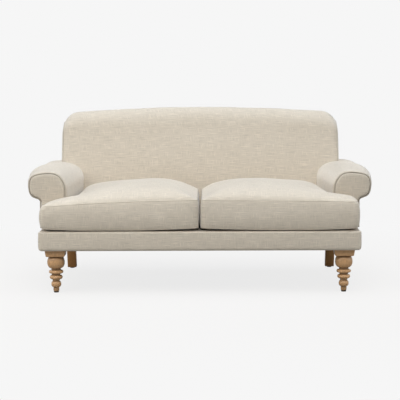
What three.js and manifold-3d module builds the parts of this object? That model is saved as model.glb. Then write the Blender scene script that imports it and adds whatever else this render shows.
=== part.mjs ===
// A two-seat sofa with low rolled arms, a tight back, two loose seat cushions and turned front legs.
// Lengths are in millimetres. X runs to the right of someone facing the sofa, Y to its back and Z up.
// The floor is Z = 0 and the origin is the middle of the footprint.
import * as THREE from 'three';
import { mergeVertices } from 'three/addons/utils/BufferGeometryUtils.js';
import Module from 'manifold-3d';

const wasm = await Module();
wasm.setup();

// Overall sizes
const overallDepth = 940;
const seatWidth = 1536;
const backHeight = 860;
const armHeight = 582;
const legHeight = 207;

// Clearances
const fit = 0.3;
const overrun = 20;

// Base: the fabric band in front, the side panels and the platform that the cushions lie on
const bandHeight = 90;
const bandThickness = 11;
const bandProud = 5;
const bandReturn = 34;
const bandCornerRadius = 24;
const bandEdge = 4;
const sidePanelThickness = 6;
const deckLip = 3;
const deckThickness = 10;
const dustCoverThickness = 1.5;
const dustCoverInset = 20;
const dustCoverNotch = 4;

// Hardwood frame
const railThickness = 28;
const sideRailThickness = 44;
const stretcherHeight = 56;
const postWidth = 28;
const backPostDepth = 44;
const backRailThickness = 28;
const topRailHeight = 60;
const lowerBackRailHeight = 50;
const lowerBackRailLift = 30;
const armPostThickness = 28;
const armRailWidth = 70;
const armRailHeight = 24;
const armRailLift = 18.5;
const cornerBlockLeg = 98;
const cornerBlockTip = 15;
const cornerBlockHeight = 40;

// Springs and webbing
const springWire = 4;
const springWidth = 52;
const springTurn = 10;
const springPitch = 62;
const springCount = 6;
const strapWidth = 50;
const strapThickness = 2.2;
const strapCount = 4;

// Legs, bolts and glides
const legEndInset = 78;
const frontLegSetBack = 69;
const legBlockTopWidth = 98;
const legBlockWidth = 90;
const legBlockHeight = 34;
const legBlockShoulder = 8;
const legBlockFoot = 60;
const glideHeight = 5;
const glideRadius = 12;
const glidePinRadius = 1.6;
const glidePinLength = 13;
const footRadius = 14;
const footChamfer = 2;
const ballHeight = 40;
const ballWidth = 48;
const ballThickness = 28;
const lowRingHeight = 74;
const lowRingWidth = 62;
const lowRingThickness = 21;
const highRingHeight = 100;
const highRingWidth = 70;
const highRingThickness = 18;
const bulbHeight = 145;
const bulbWidth = 84;
const bulbThickness = 56;
const ankleRadius = 17.5;
const waistRadius = 20.5;
const neckRadius = 22.5;
const collarRadius = 30;
const rearLegWidth = 46;
const rearLegSetIn = 37;
const rearLegRake = 55;
const boltRadius = 4;
const boltHoleClearance = 0.3;
const boltDepth = 57;
const boltRise = 55;
const washerRadius = 8;
const washerThickness = 2;
const nutRadius = 7;
const nutHeight = 6.5;
const rearBoltInset = 9;

// Arms
const facingWidth = 114;
const facingSetBack = 132;
const facingThickness = 12;
const facingEdge = 2;
const rollRadius = 84;
const padBulge = 12;
const padSwell = 18;
const padFrontRound = 28;
const armPadWall = 25.5;
const armPadLowerWall = 34;
const armTaper = 36;
const neckInset = 4;
const neckDrop = 68;
const neckThickness = 12;
const neckRise = 34;
const pipingRadius = 3.5;
const pipingGap = 0.8;
const pipingSettle = 16;
const armEndWall = 18;
const armToBackGap = 1;
const curlEnd = THREE.MathUtils.degToRad(10);
const backFaceTurn = THREE.MathUtils.degToRad(18);
const scrollSteps = 12;
const outlineSteps = 24;

// Back
const backInset = 42;
const backPanelThickness = 5;
const backRollRadius = 70;
const backRollReach = 104;
const backRollDrop = 130;
const backCrown = 30;
const backCornerRadius = 84;
const backEdgeRadius = 30;
const backRearEdge = 8;
const backCavityDepth = 63.2;
const backCavityDrop = 88;
const backFlapThickness = 15;
const backFlapHeight = 50;
const backLipDrop = 5;
const backBulge = 12;
const backDepth = 290;
const backRake = THREE.MathUtils.degToRad(7.6);

// Seat cushions
const cushionGap = 2;
const cushionClearance = 3;
const boxingHeight = 147;
const frontBoxingBulge = 8;
const sideBoxingBulge = 4;
const earBoxingBulge = 14;
const cushionCrown = 62;
const crownRun = 250;
const cushionCornerRadius = 28;
const cushionDrawnIn = 5;
const bottomRound = 4;
const seamLift = 3;
const seamFall = 22;
const coverThickness = 18;
const cushionRearGap = 13;
const zipLength = 400;
const zipHeight = 6;
const zipTapeThickness = 3;
const sliderLength = 16;
const sliderHeight = 9;
const sliderThickness = 3;
const tabLength = 22;
const tabWidth = 6;
const tabThickness = 1.6;

// Shares, as fractions of the size that each one follows
const rearLegBowShare = 0.3;
const neckBulgeShare = 0.85;
const padFrontShares = [0, 0.25, 0.55, 1];
const padFrontStartShare = 0.15;
const padLengthShares = [0.22, 0.42, 0.64, 0.84];
const padSwellShares = [0.5, 0.9, 1, 0.85];
const padRearSwellShare = 0.5;
const earCrownShare = 0.9;
const earSlopeShare = 0.45;
const boxingShares = [[0.2, 0.64], [0.5, 1], [0.8, 0.64]];
const springBendShare = 0.2;
const backStationShares = [0.33, 0.64];
const scrollShares = [
  [-1, -0.07], [-0.985, 0.22], [-0.87, 0.51], [-0.69, 0.75], [-0.45, 0.89], [-0.1, 0.93], [0.33, 0.9],
  [0.66, 0.82], [0.86, 0.69], [0.95, 0.48], [0.965, 0.17], [0.915, -0.13], [0.8, -0.3], [0.62, -0.385],
  [0.41, -0.47], [0.31, -0.62],
];
const scrollTurnShare = 0.7;
const backFaceLowerShares = [-0.01, 0.26];
const backFaceUpperShares = [0.69, 0.68];
const springEndShare = 0.5;

// Places that several pieces share
const halfSeat = seatWidth / 2;
const frontY = frontBoxingBulge - overallDepth / 2;
const deckTop = legHeight + bandHeight + deckLip;
const sideX = halfSeat - bandProud;
const sideRailOuterX = sideX - sidePanelThickness - fit;
const sideRailInnerX = sideRailOuterX - sideRailThickness;
const railBottom = legHeight + fit;
const railTop = deckTop - deckThickness - springWire - 2 * fit;
const frontRailY = frontY + bandThickness + fit;
const frontRailBackY = frontRailY + railThickness;
const facingY = frontY + facingSetBack;
const facingInnerX = halfSeat - facingWidth;
const armFrontY = facingY + facingThickness + fit;
const rollCentre = new THREE.Vector2(facingInnerX + rollRadius, armHeight - padBulge - rollRadius);
const neckX = halfSeat - neckInset;
const neckZ = rollCentre.y - neckDrop;
const padBottomZ = deckTop + 2 * fit;
const tipZ = neckZ - padBulge * neckBulgeShare;
const cavityRadius = rollRadius - armPadWall;
const armPostBackY = armFrontY + armPostThickness;
const armCavityInnerX = facingInnerX - padBulge + armPadLowerWall;
const backHalfWidth = halfSeat - backInset;
const backRollY = overallDepth / 2 - backRollRadius;
const backRollZ = backHeight - backRollRadius;
const backPostOuterX = sideRailInnerX - fit;
const backPostInnerX = backPostOuterX - postWidth;
const insideBackY = overallDepth / 2 - backDepth;
const legX = halfSeat - legEndInset;
const frontLegY = frontY + frontLegSetBack;
const backPlane = (z) => overallDepth / 2 - backPanelThickness - (backRollZ - z) * Math.tan(backRake);
const frameFront = (z) => backPlane(z) - backFlapThickness - fit - backPostDepth;
const rearRailBackY = backPlane(railBottom) - fit;
const rearRailY = rearRailBackY - railThickness;
const rearLegTopY = rearRailBackY - rearLegSetIn;

// Materials, a new one for each mesh
const finish = (color, roughness, metalness = 0) => () =>
  new THREE.MeshStandardMaterial({ color, roughness, metalness });
const linen = finish(0xdcd3c5, 0.95);
const linenWelt = finish(0xc9bfae, 0.95);
const oak = finish(0xa07c58, 0.45);
const beech = finish(0xcbab80, 0.7);
const steel = finish(0x9b9c9a, 0.35, 1);
const foam = finish(0xefe6c8, 0.95);
const cambric = finish(0x2b2b2b, 0.95);
const webbing = finish(0x93835f, 0.9);
const nylon = finish(0x3c3a37, 0.5);
const zinc = finish(0xaaa59a, 0.4, 1);
const zipCloth = finish(0xb9ae9c, 0.9);

// The scene graph
const sofa = new THREE.Group();
const group = () => {
  const made = new THREE.Group();
  sofa.add(made);
  return made;
};
const frame = group();
const suspension = group();
const legs = group();
const upholstery = group();
const cushions = group();

function place(parent, name, geometry, makeMaterial, x = 0, y = 0, z = 0) {
  const mesh = new THREE.Mesh(geometry, makeMaterial());
  mesh.name = name;
  mesh.position.set(x, y, z);
  parent.add(mesh);
}

// The right-hand piece as given, and its mirror image on the left
function placePair(parent, name, geometry, makeMaterial, x = 0, y = 0, z = 0) {
  place(parent, `right_${name}`, geometry, makeMaterial, x, y, z);
  place(parent, `left_${name}`, mirrored(geometry), makeMaterial, -x, y, z);
}

// Geometry helpers
function bare(geometry) {
  const copy = geometry.clone();
  copy.deleteAttribute('normal');
  copy.deleteAttribute('uv');
  return mergeVertices(copy, fit / 100);
}

function mirrored(geometry) {
  const copy = bare(geometry);
  copy.scale(-1, 1, 1);
  copy.index.array.reverse();
  return shaded(copy);
}

function shaded(geometry) {
  const flat = geometry.index ? geometry.toNonIndexed() : geometry;
  flat.computeVertexNormals();
  return flat;
}

function solidOf(geometry) {
  const merged = bare(geometry);
  return new wasm.Manifold(new wasm.Mesh({
    numProp: 3,
    vertProperties: merged.attributes.position.array,
    triVerts: new Uint32Array(merged.index.array),
  }));
}

function geometryOf(solid) {
  const mesh = solid.getMesh();
  const geometry = new THREE.BufferGeometry();
  geometry.setAttribute('position', new THREE.BufferAttribute(mesh.vertProperties, 3));
  geometry.setIndex(new THREE.BufferAttribute(mesh.triVerts, 1));
  return shaded(geometry);
}

function carved(body, ...cutters) {
  return geometryOf(cutters.reduce((solid, cutter) => solid.subtract(solidOf(cutter)), solidOf(body)));
}

function joined(body, ...others) {
  return geometryOf(others.reduce((solid, other) => solid.add(solidOf(other)), solidOf(body)));
}

function block(xs, ys, zs) {
  const geometry = new THREE.BoxGeometry(xs[1] - xs[0], ys[1] - ys[0], zs[1] - zs[0]);
  return geometry.translate((xs[0] + xs[1]) / 2, (ys[0] + ys[1]) / 2, (zs[0] + zs[1]) / 2);
}

function post(radius, fromZ, toZ, sides) {
  const geometry = new THREE.CylinderGeometry(radius, radius, toZ - fromZ, sides);
  return geometry.rotateX(Math.PI / 2).translate(0, 0, (fromZ + toZ) / 2);
}

function extruded(points, depth, bevel = 0) {
  return new THREE.ExtrudeGeometry(new THREE.Shape(points), {
    depth: depth - 2 * bevel,
    bevelEnabled: bevel > 0,
    bevelThickness: bevel,
    bevelSize: bevel,
    bevelOffset: -bevel,
    bevelSegments: 1,
  }).translate(0, 0, bevel);
}

// Points are (x, y) and the piece rises along Z
const extrudedUp = (points, zs, bevel) => extruded(points, zs[1] - zs[0], bevel).translate(0, 0, zs[0]);

// Points are (x, z) and the piece runs back along Y
const extrudedBack = (points, ys, bevel) =>
  extruded(points, ys[1] - ys[0], bevel).rotateX(Math.PI / 2).translate(0, ys[1], 0);

// Points are (y, z) and the piece runs across along X
const across = new THREE.Matrix4().makeBasis(
  new THREE.Vector3(0, 1, 0), new THREE.Vector3(0, 0, 1), new THREE.Vector3(1, 0, 0));
const extrudedAcross = (points, xs, bevel) =>
  extruded(points, xs[1] - xs[0], bevel).applyMatrix4(across).translate(xs[0], 0, 0);

const at = (x, y) => new THREE.Vector2(x, y);

function arc(centre, radius, from, to, steps) {
  return Array.from({ length: steps + 1 }, (_, k) => {
    const angle = from + (to - from) * k / steps;
    return at(centre.x + radius * Math.cos(angle), centre.y + radius * Math.sin(angle));
  });
}

// An open line moved sideways, to the left of its direction
function offsetLine(points, distance) {
  return points.map((p, k) => {
    const before = points[Math.max(k - 1, 0)];
    const after = points[Math.min(k + 1, points.length - 1)];
    const along = after.clone().sub(before).normalize();
    return at(p.x - along.y * distance, p.y + along.x * distance);
  });
}

// A closed skin through rings of equal point counts, capped at both ends
// Flatten drops the axis that it runs along
function loft(rings, flatten) {
  const count = rings[0].length;
  const positions = rings.flat().flatMap((p) => [p.x, p.y, p.z]);
  const faces = [];
  for (let r = 0; r + 1 < rings.length; r++) {
    for (let k = 0; k < count; k++) {
      const a = r * count + k;
      const b = r * count + (k + 1) % count;
      faces.push(a, b, b + count, a, b + count, a + count);
    }
  }
  // The cap's triangles always come out anticlockwise, and the sides follow the outline
  const outline = rings[0].map(flatten);
  const last = (rings.length - 1) * count;
  const firstUp = THREE.ShapeUtils.area(outline) < 0;
  for (const [a, b, c] of THREE.ShapeUtils.triangulateShape(outline, [])) {
    const [near, far] = firstUp ? [[a, b, c], [a, c, b]] : [[a, c, b], [a, b, c]];
    faces.push(...near, ...far.map((k) => last + k));
  }
  const geometry = new THREE.BufferGeometry();
  geometry.setAttribute('position', new THREE.Float32BufferAttribute(positions, 3));
  geometry.setIndex(faces);
  if (signedVolume(geometry) < 0) geometry.index.array.reverse();
  return geometry;
}

function signedVolume(geometry) {
  const points = geometry.attributes.position;
  const index = geometry.index.array;
  const corner = (k) => new THREE.Vector3().fromBufferAttribute(points, index[k]);
  let sum = 0;
  for (let k = 0; k < index.length; k += 3) sum += corner(k).dot(corner(k + 1).cross(corner(k + 2)));
  return sum;
}

// Frame

function addRails() {
  const zs = [railBottom, railTop];
  const sideYs = [frontRailBackY + fit, backPlane(railBottom) - fit];
  const frontXs = [-sideRailOuterX, sideRailOuterX];
  place(frame, 'front_seat_rail', block(frontXs, [frontRailY, frontRailBackY], zs), beech);
  const rearX = backPostInnerX - fit;
  place(frame, 'rear_seat_rail', block([-rearX, rearX], [rearRailY, rearRailBackY], zs), beech);
  placePair(frame, 'seat_rail', block([sideRailInnerX, sideRailOuterX], sideYs, zs), beech);
  const stretcherYs = [frontRailBackY + fit, rearRailY - fit];
  const stretcherZs = [railBottom, railBottom + stretcherHeight];
  place(frame, 'centre_seat_rail',
    block([-railThickness / 2, railThickness / 2], stretcherYs, stretcherZs), beech);
}

function cornerBlock(holeX, holeY) {
  const points = [
    at(0, 0), at(0, cornerBlockLeg), at(-cornerBlockTip, cornerBlockLeg),
    at(-cornerBlockLeg, cornerBlockTip), at(-cornerBlockLeg, 0),
  ];
  const hole = post(boltRadius + boltHoleClearance, -overrun, cornerBlockHeight + overrun, 12);
  return carved(extrudedUp(points, [0, cornerBlockHeight]), hole.translate(holeX, holeY, 0));
}

function addCornerBlocks() {
  const frontX = sideRailInnerX - fit;
  const frontCornerY = frontRailBackY + fit;
  placePair(frame, 'front_corner_block', cornerBlock(legX - frontX, frontLegY - frontCornerY), beech,
    frontX, frontCornerY, railBottom);
  // Turned half round and mirrored, the same block fits the rear corner
  const rear = mirrored(cornerBlock(-rearBoltInset, rearBoltInset)).rotateZ(Math.PI);
  placePair(frame, 'rear_corner_block', rear, beech, backPostInnerX - fit, rearRailY - fit, railBottom);
}

// A piece of the back frame, leaning with the rear plane between two distances in front of it
function leaning(xs, zs, depths) {
  const points = [
    at(backPlane(zs[0]) - depths[0], zs[0]), at(backPlane(zs[0]) - depths[1], zs[0]),
    at(backPlane(zs[1]) - depths[1], zs[1]), at(backPlane(zs[1]) - depths[0], zs[1]),
  ];
  return extrudedAcross(points, xs);
}

function addBackFrame() {
  const front = backFlapThickness + fit + backPostDepth;
  const top = backHeight - backCavityDrop - fit - deckLip;
  const postZs = [railBottom, top];
  const postDepths = [front, front - backPostDepth];
  placePair(frame, 'back_post', leaning([backPostInnerX, backPostOuterX], postZs, postDepths), beech);
  const railX = backPostInnerX - fit;
  const depths = [front, front - backRailThickness];
  place(frame, 'top_back_rail', leaning([-railX, railX], [top - topRailHeight, top], depths), beech);
  const lowerZ = deckTop + lowerBackRailLift;
  place(frame, 'lower_back_rail',
    leaning([-railX, railX], [lowerZ, lowerZ + lowerBackRailHeight], depths), beech);
  const strapDepths = [front + fit + strapThickness, front + fit];
  for (let k = 0; k < strapCount; k++) {
    const x = railX * 2 * ((k + 1) / (strapCount + 1) - 1 / 2);
    const strap = leaning([-strapWidth / 2, strapWidth / 2], [lowerZ, top], strapDepths);
    place(suspension, `back_strap_${k + 1}`, strap, webbing, x);
  }
}

// The front post of the arm is sawn to the scroll of the roll, less the padding
function armPost() {
  const radius = cavityRadius - fit;
  const outerX = neckX - neckThickness - fit;
  const innerX = rollCentre.x - radius;
  const points = [
    ...arc(rollCentre, radius, Math.PI, curlEnd, scrollSteps),
    at(outerX, neckZ - padBulge + neckRise + neckThickness),
    at(outerX, railTop + fit), at(sideRailInnerX - fit, railTop + fit),
    at(sideRailInnerX - fit, railBottom), at(innerX, railBottom),
  ];
  return extrudedBack(points, [armFrontY, armPostBackY]);
}

function armRail(clearance = 0) {
  const z = rollCentre.y + armRailLift;
  const xs = [rollCentre.x - armRailWidth / 2 - clearance, rollCentre.x + armRailWidth / 2 + clearance];
  const zs = [z - clearance, z + armRailHeight + clearance];
  return block(xs, [armPostBackY + fit, frameFront(z) - fit + clearance], zs);
}

function addArmFrames() {
  placePair(frame, 'arm_post', armPost(), beech);
  placePair(frame, 'arm_rail', armRail(), beech);
}

// Suspension

// A wire bent in one level plane, through the given points
function wire(points, radius) {
  const sides = 4;
  const rings = points.map((p, k) => {
    const before = points[Math.max(k - 1, 0)];
    const after = points[Math.min(k + 1, points.length - 1)];
    const along = after.clone().sub(before).normalize();
    return Array.from({ length: sides }, (_, s) => {
      const angle = 2 * Math.PI * s / sides;
      const reach = radius * Math.cos(angle);
      return new THREE.Vector3(p.x + along.y * reach, p.y - along.x * reach, radius * Math.sin(angle));
    });
  });
  return loft(rings, (v) => at(v.x, v.z));
}

function seatSpring(length) {
  const turns = Math.round(length / springPitch);
  const pitch = length / turns;
  const straight = springWidth / 2 - springTurn;
  const points = [at(0, 0)];
  for (let k = 0; k < turns; k++) {
    const side = k % 2 ? -1 : 1;
    const y = k * pitch;
    points.push(at(side * straight, y + pitch * springBendShare));
    points.push(at(side * springWidth / 2, y + pitch / 2));
    points.push(at(side * straight, y + pitch * (1 - springBendShare)));
  }
  points.push(at(0, length));
  return wire(points, springWire / 2);
}

function addSprings() {
  const fromY = frontRailY + railThickness * springEndShare;
  const toY = rearRailY + railThickness * springEndShare;
  const span = 2 * facingInnerX;
  for (let k = 0; k < springCount; k++) {
    const x = span * ((k + 1 / 2) / springCount - 1 / 2);
    place(suspension, `seat_spring_${k + 1}`, seatSpring(toY - fromY), steel,
      x, fromY, railTop + fit + springWire / 2);
  }
}

// Legs

// A turned swelling between two root radii, as points of (radius, height)
function bead(height, width, thickness, lowerRoot, upperRoot) {
  const steps = 6;
  return Array.from({ length: steps + 1 }, (_, k) => {
    const angle = Math.PI * (k / steps - 1 / 2);
    const root = k * 2 < steps ? lowerRoot : upperRoot;
    return at(root + (width / 2 - root) * Math.cos(angle), height + thickness / 2 * Math.sin(angle));
  });
}

function turnedLeg() {
  const foot = glideHeight + fit;
  const collarZ = legHeight - legBlockHeight;
  const turning = [
    at(0, foot), at(footRadius - footChamfer, foot), at(footRadius, foot + footChamfer),
    ...bead(ballHeight, ballWidth, ballThickness, footRadius, ankleRadius),
    ...bead(lowRingHeight, lowRingWidth, lowRingThickness, ankleRadius, waistRadius),
    ...bead(highRingHeight, highRingWidth, highRingThickness, waistRadius, neckRadius),
    ...bead(bulbHeight, bulbWidth, bulbThickness, neckRadius, collarRadius),
    at(collarRadius, collarZ + footChamfer), at(0, collarZ + footChamfer),
  ];
  const spindle = new THREE.LatheGeometry(turning, 18).rotateX(Math.PI / 2);
  // The block is a revolve of four sides, so its radii are half widths times the square's diagonal
  const square = (width, z) => at(width / 2 * Math.SQRT2, z);
  const shoulder = square(legBlockWidth - legBlockShoulder, collarZ + footChamfer);
  const blockProfile = [
    at(0, collarZ), square(legBlockFoot, collarZ), shoulder,
    square(legBlockWidth, collarZ + legBlockShoulder), square(legBlockTopWidth, legHeight), at(0, legHeight),
  ];
  const squareBlock = new THREE.LatheGeometry(blockProfile, 4).rotateX(Math.PI / 2).rotateZ(Math.PI / 4);
  return carved(joined(squareBlock, spindle), boltHole(0, 0), glideHole(0, 0));
}

function boltHole(x, y) {
  const radius = boltRadius + boltHoleClearance;
  return post(radius, legHeight - boltDepth - fit, legHeight + overrun, 12).translate(x, y, 0);
}

const glideHole = (x, y) =>
  post(glidePinRadius + fit, 0, glideHeight + glidePinLength + fit, 8).translate(x, y, 0);

// The rear leg is sawn to a gentle curve and stands square in section
function rearLeg() {
  const half = rearLegWidth / 2;
  const foot = glideHeight + fit;
  const line = new THREE.QuadraticBezierCurve(
    at(0, legHeight), at(rearLegRake * rearLegBowShare, legHeight / 2), at(rearLegRake, foot)).getPoints(5);
  const points = [
    ...line.map((p) => at(p.x - half, p.y)),
    ...line.reverse().map((p) => at(p.x + half, p.y)),
  ];
  const leg = extrudedAcross(points, [-half, half]);
  return carved(leg, boltHole(rearBoltX(), rearBoltY()), glideHole(0, rearLegRake));
}

// The rear bolt stands in its corner block, close to the middle of the leg's top
const rearBoltX = () => backPostInnerX - fit - rearBoltInset - legX;
const rearBoltY = () => rearRailY - fit - rearBoltInset - rearLegTopY;

function legBolt() {
  const seat = cornerBlockHeight + 2 * fit;
  const washerTop = seat + washerThickness;
  const profile = [
    at(0, -boltDepth), at(boltRadius, -boltDepth), at(boltRadius, seat), at(washerRadius, seat),
    at(washerRadius, washerTop), at(nutRadius, washerTop), at(nutRadius, washerTop + nutHeight),
    at(boltRadius, washerTop + nutHeight), at(boltRadius, boltRise), at(0, boltRise),
  ];
  return new THREE.LatheGeometry(profile, 12).rotateX(Math.PI / 2);
}

function glide() {
  const profile = [
    at(0, 0), at(glideRadius, 0), at(glideRadius, glideHeight), at(glidePinRadius, glideHeight),
    at(glidePinRadius, glideHeight + glidePinLength), at(0, glideHeight + glidePinLength),
  ];
  return new THREE.LatheGeometry(profile, 16).rotateX(Math.PI / 2);
}

function addLegs() {
  const frontLeg = turnedLeg();
  place(legs, 'front_right_leg', frontLeg, oak, legX, frontLegY);
  place(legs, 'front_left_leg', frontLeg, oak, -legX, frontLegY);
  const rear = rearLeg();
  place(legs, 'rear_right_leg', rear, oak, legX, rearLegTopY);
  place(legs, 'rear_left_leg', mirrored(rear), oak, -legX, rearLegTopY);
  const rearX = legX + rearBoltX();
  const rearY = rearLegTopY + rearBoltY();
  for (const [side, sign] of [['right', 1], ['left', -1]]) {
    place(legs, `front_${side}_leg_bolt`, legBolt(), steel, sign * legX, frontLegY, legHeight);
    place(legs, `rear_${side}_leg_bolt`, legBolt(), steel, sign * rearX, rearY, legHeight);
    place(legs, `front_${side}_glide`, glide(), nylon, sign * legX, frontLegY);
    place(legs, `rear_${side}_glide`, glide(), nylon, sign * legX, rearLegTopY + rearLegRake);
  }
}

// Base upholstery

// The band wraps the two front corners, so its plan is a shallow channel with round corners
function frontBorder() {
  const inner = halfSeat - bandThickness;
  const corner = at(halfSeat - bandCornerRadius, frontY + bandCornerRadius);
  const backY = frontY + bandReturn;
  const innerY = frontY + bandThickness;
  const innerCorner = bandCornerRadius - bandThickness;
  const right = [
    ...arc(corner, bandCornerRadius, -Math.PI / 2, 0, 5), at(halfSeat, backY), at(inner, backY),
    ...arc(corner, innerCorner, 0, -Math.PI / 2, 3),
  ];
  const outerCount = 7;
  const outer = right.slice(0, outerCount);
  const innerLine = right.slice(outerCount);
  const mirror = (points) => points.map((p) => at(-p.x, p.y)).reverse();
  const points = [...outer, ...innerLine, ...mirror(innerLine), ...mirror(outer)];
  // The corner of the front rail is square, so the band's inside is cut to clear it
  const railCorner = block([-inner, inner], [innerY, backY + overrun], [0, deckTop]);
  return carved(extrudedUp(points, [legHeight, legHeight + bandHeight], bandEdge), railCorner);
}

// Side panels run from the band to the back, below the roll of the arm
function outsideArm() {
  const top = neckZ - padBulge - fit;
  const frontUpperY = armFrontY;
  const frontLowerY = frontY + bandReturn + fit;
  const bandTop = legHeight + bandHeight;
  const points = [
    at(frontLowerY, legHeight), at(frontLowerY, bandTop), at(frontUpperY, bandTop), at(frontUpperY, top),
    at(backPlane(top) - fit, top), at(backPlane(legHeight) - fit, legHeight),
  ];
  return extrudedAcross(points, [sideX - sidePanelThickness, sideX]);
}

function seatDeck() {
  const frontX = sideRailOuterX;
  const sideDeckX = armCavityInnerX + fit;
  const stripBackY = facingY - fit;
  const half = [
    at(frontX, frontRailY), at(frontX, stripBackY), at(sideDeckX, stripBackY), at(sideDeckX, rearRailY),
  ];
  const points = [...half, ...half.map((p) => at(-p.x, p.y)).reverse()];
  return extrudedUp(points, [deckTop - deckThickness, deckTop]);
}

function dustCover() {
  const x = sideX - dustCoverInset;
  const frontEdge = frontY + dustCoverInset;
  const backEdge = rearRailBackY - dustCoverInset / 2;
  const frontNotchX = legX - legBlockTopWidth / 2 - dustCoverNotch;
  const frontNotchY = frontLegY + legBlockTopWidth / 2 + dustCoverNotch;
  const rearNotchX = legX - rearLegWidth / 2 - dustCoverNotch;
  const rearNotchY = rearLegTopY - rearLegWidth / 2 - dustCoverNotch;
  const half = [
    at(frontNotchX, frontEdge), at(frontNotchX, frontNotchY), at(x, frontNotchY),
    at(x, rearNotchY), at(rearNotchX, rearNotchY), at(rearNotchX, backEdge),
  ];
  const points = [...half, ...half.map((p) => at(-p.x, p.y)).reverse()];
  return extrudedUp(points, [legHeight - dustCoverThickness, legHeight]);
}

function addBase() {
  place(upholstery, 'front_border', frontBorder(), linen);
  placePair(upholstery, 'outside_arm', outsideArm(), linen);
  place(upholstery, 'seat_deck', seatDeck(), linen);
  place(upholstery, 'dust_cover', dustCover(), cambric);
}

// Arms

// The scroll of the arm from its inner side over the top to the neck, as points of (x, z)
// Bulge is its padding all round, and swell is what the top and the outer side have more
const scroll = [
  ...scrollShares.map(([x, z]) =>
    new THREE.Vector3(rollCentre.x + rollRadius * x, 0, rollCentre.y + rollRadius * z)),
  new THREE.Vector3(neckX, 0, neckZ),
];
const scrollCurve = new THREE.CatmullRomCurve3(scroll, false, 'centripetal');

function roll(bulge, swell = 0) {
  const points = scrollCurve.getSpacedPoints(outlineSteps).map((p, k) => {
    const share = k / outlineSteps;
    const grown = bulge + swell * Math.min(1, 2 * share);
    const fade = THREE.MathUtils.clamp((1 - share) / (1 - scrollTurnShare), 0, 1);
    const away = at(p.x, p.z).sub(rollCentre).setLength(grown * fade);
    return at(p.x + away.x, p.z + away.y);
  });
  points[outlineSteps] = at(neckX, neckZ - bulge * neckBulgeShare);
  return points;
}

function armFacing() {
  const points = [at(facingInnerX, padBottomZ), ...roll(0), at(neckX, padBottomZ)];
  return extrudedBack(points, [facingY, facingY + facingThickness], facingEdge);
}

// The welt lies in the corner between the facing's edge and the pad behind it
function facingPiping() {
  const offset = pipingRadius + pipingGap;
  const edge = [
    at(facingInnerX, padBottomZ), ...roll(0), at(neckX, neckZ - pipingSettle),
    at(neckX, (neckZ + padBottomZ) / 2), at(neckX, padBottomZ),
  ];
  const line = offsetLine(edge, offset);
  const y = armFrontY - fit - pipingRadius;
  const route = line.map((p) => new THREE.Vector3(p.x, y, p.y));
  const path = new THREE.CatmullRomCurve3(route, false, 'centripetal');
  const section = new THREE.Shape(arc(at(0, 0), pipingRadius, 0, 2 * Math.PI, 6).slice(1));
  return new THREE.ExtrudeGeometry(section, { extrudePath: path, steps: 56, bevelEnabled: false });
}

// One cross-section of the padded roll: over the outside, round the neck and back along the hollow
function padSection(bulge, swell, yAt, inward) {
  const outside = [at(facingInnerX - bulge, padBottomZ), ...roll(bulge, swell)];
  outside[outside.length - 1].y = tipZ;
  const hollow = [
    at(neckX - neckThickness, tipZ), at(neckX - neckThickness, tipZ + neckRise),
    ...arc(rollCentre, cavityRadius, curlEnd, Math.PI, scrollSteps), at(armCavityInnerX, padBottomZ),
  ];
  const lean = (p) => {
    const share = THREE.MathUtils.clamp((rollCentre.x - p.x) / rollRadius, 0, 1);
    return new THREE.Vector3(p.x - inward * share, yAt(p.y), p.y);
  };
  return [...outside.map(lean), ...hollow.map((p) => new THREE.Vector3(p.x, yAt(p.y), p.y))];
}

function armPad() {
  const level = (y) => () => y;
  const padBackY = insideBackY;
  const taperAt = (y) => armTaper * (y - armFrontY) / (padBackY - armFrontY);
  const rings = padFrontShares.map((share) => {
    const y = armFrontY + padFrontRound * share;
    const rounded = Math.sqrt(1 - (1 - share) ** 2);
    const bulge = padBulge * (padFrontStartShare + (1 - padFrontStartShare) * rounded);
    return padSection(bulge, 0, level(y), taperAt(y));
  });
  padLengthShares.forEach((share, k) => {
    const y = armFrontY + (padBackY - armFrontY) * share;
    rings.push(padSection(padBulge, padSwell * padSwellShares[k], level(y), taperAt(y)));
  });
  const rearSwell = padSwell * padRearSwellShare;
  rings.push(padSection(padBulge, rearSwell, level(padBackY), armTaper));
  rings.push(padSection(padBulge, 0, (z) => backPlane(z) - fit - backFlapThickness, armTaper));
  rings.push(padSection(padBulge / 2, 0, (z) => backPlane(z) - fit, armTaper));
  const drop = (v) => at(v.x, v.z);
  // The rear end of the roll is closed beside the back
  const closing = [backFlapThickness + armEndWall, backFlapThickness, 0].map((depth) => {
    const outline = roll(depth ? padBulge : padBulge / 2);
    outline[outline.length - 1].y = tipZ;
    const over = outline.filter((p) => p.x >= rollCentre.x);
    const end = [...over, at(neckX - neckThickness, tipZ), rollCentre];
    return end.map((p) => new THREE.Vector3(p.x, backPlane(p.y) - fit - depth, p.y));
  });
  const whole = joined(loft(rings, drop), loft(closing, drop));
  return carved(whole, backLoft(armToBackGap));
}

function addArms() {
  placePair(upholstery, 'arm_facing', armFacing(), linen);
  placePair(upholstery, 'facing_piping', facingPiping(), linenWelt);
  placePair(upholstery, 'arm_pad', armPad(), linen);
}

// Back

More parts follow.
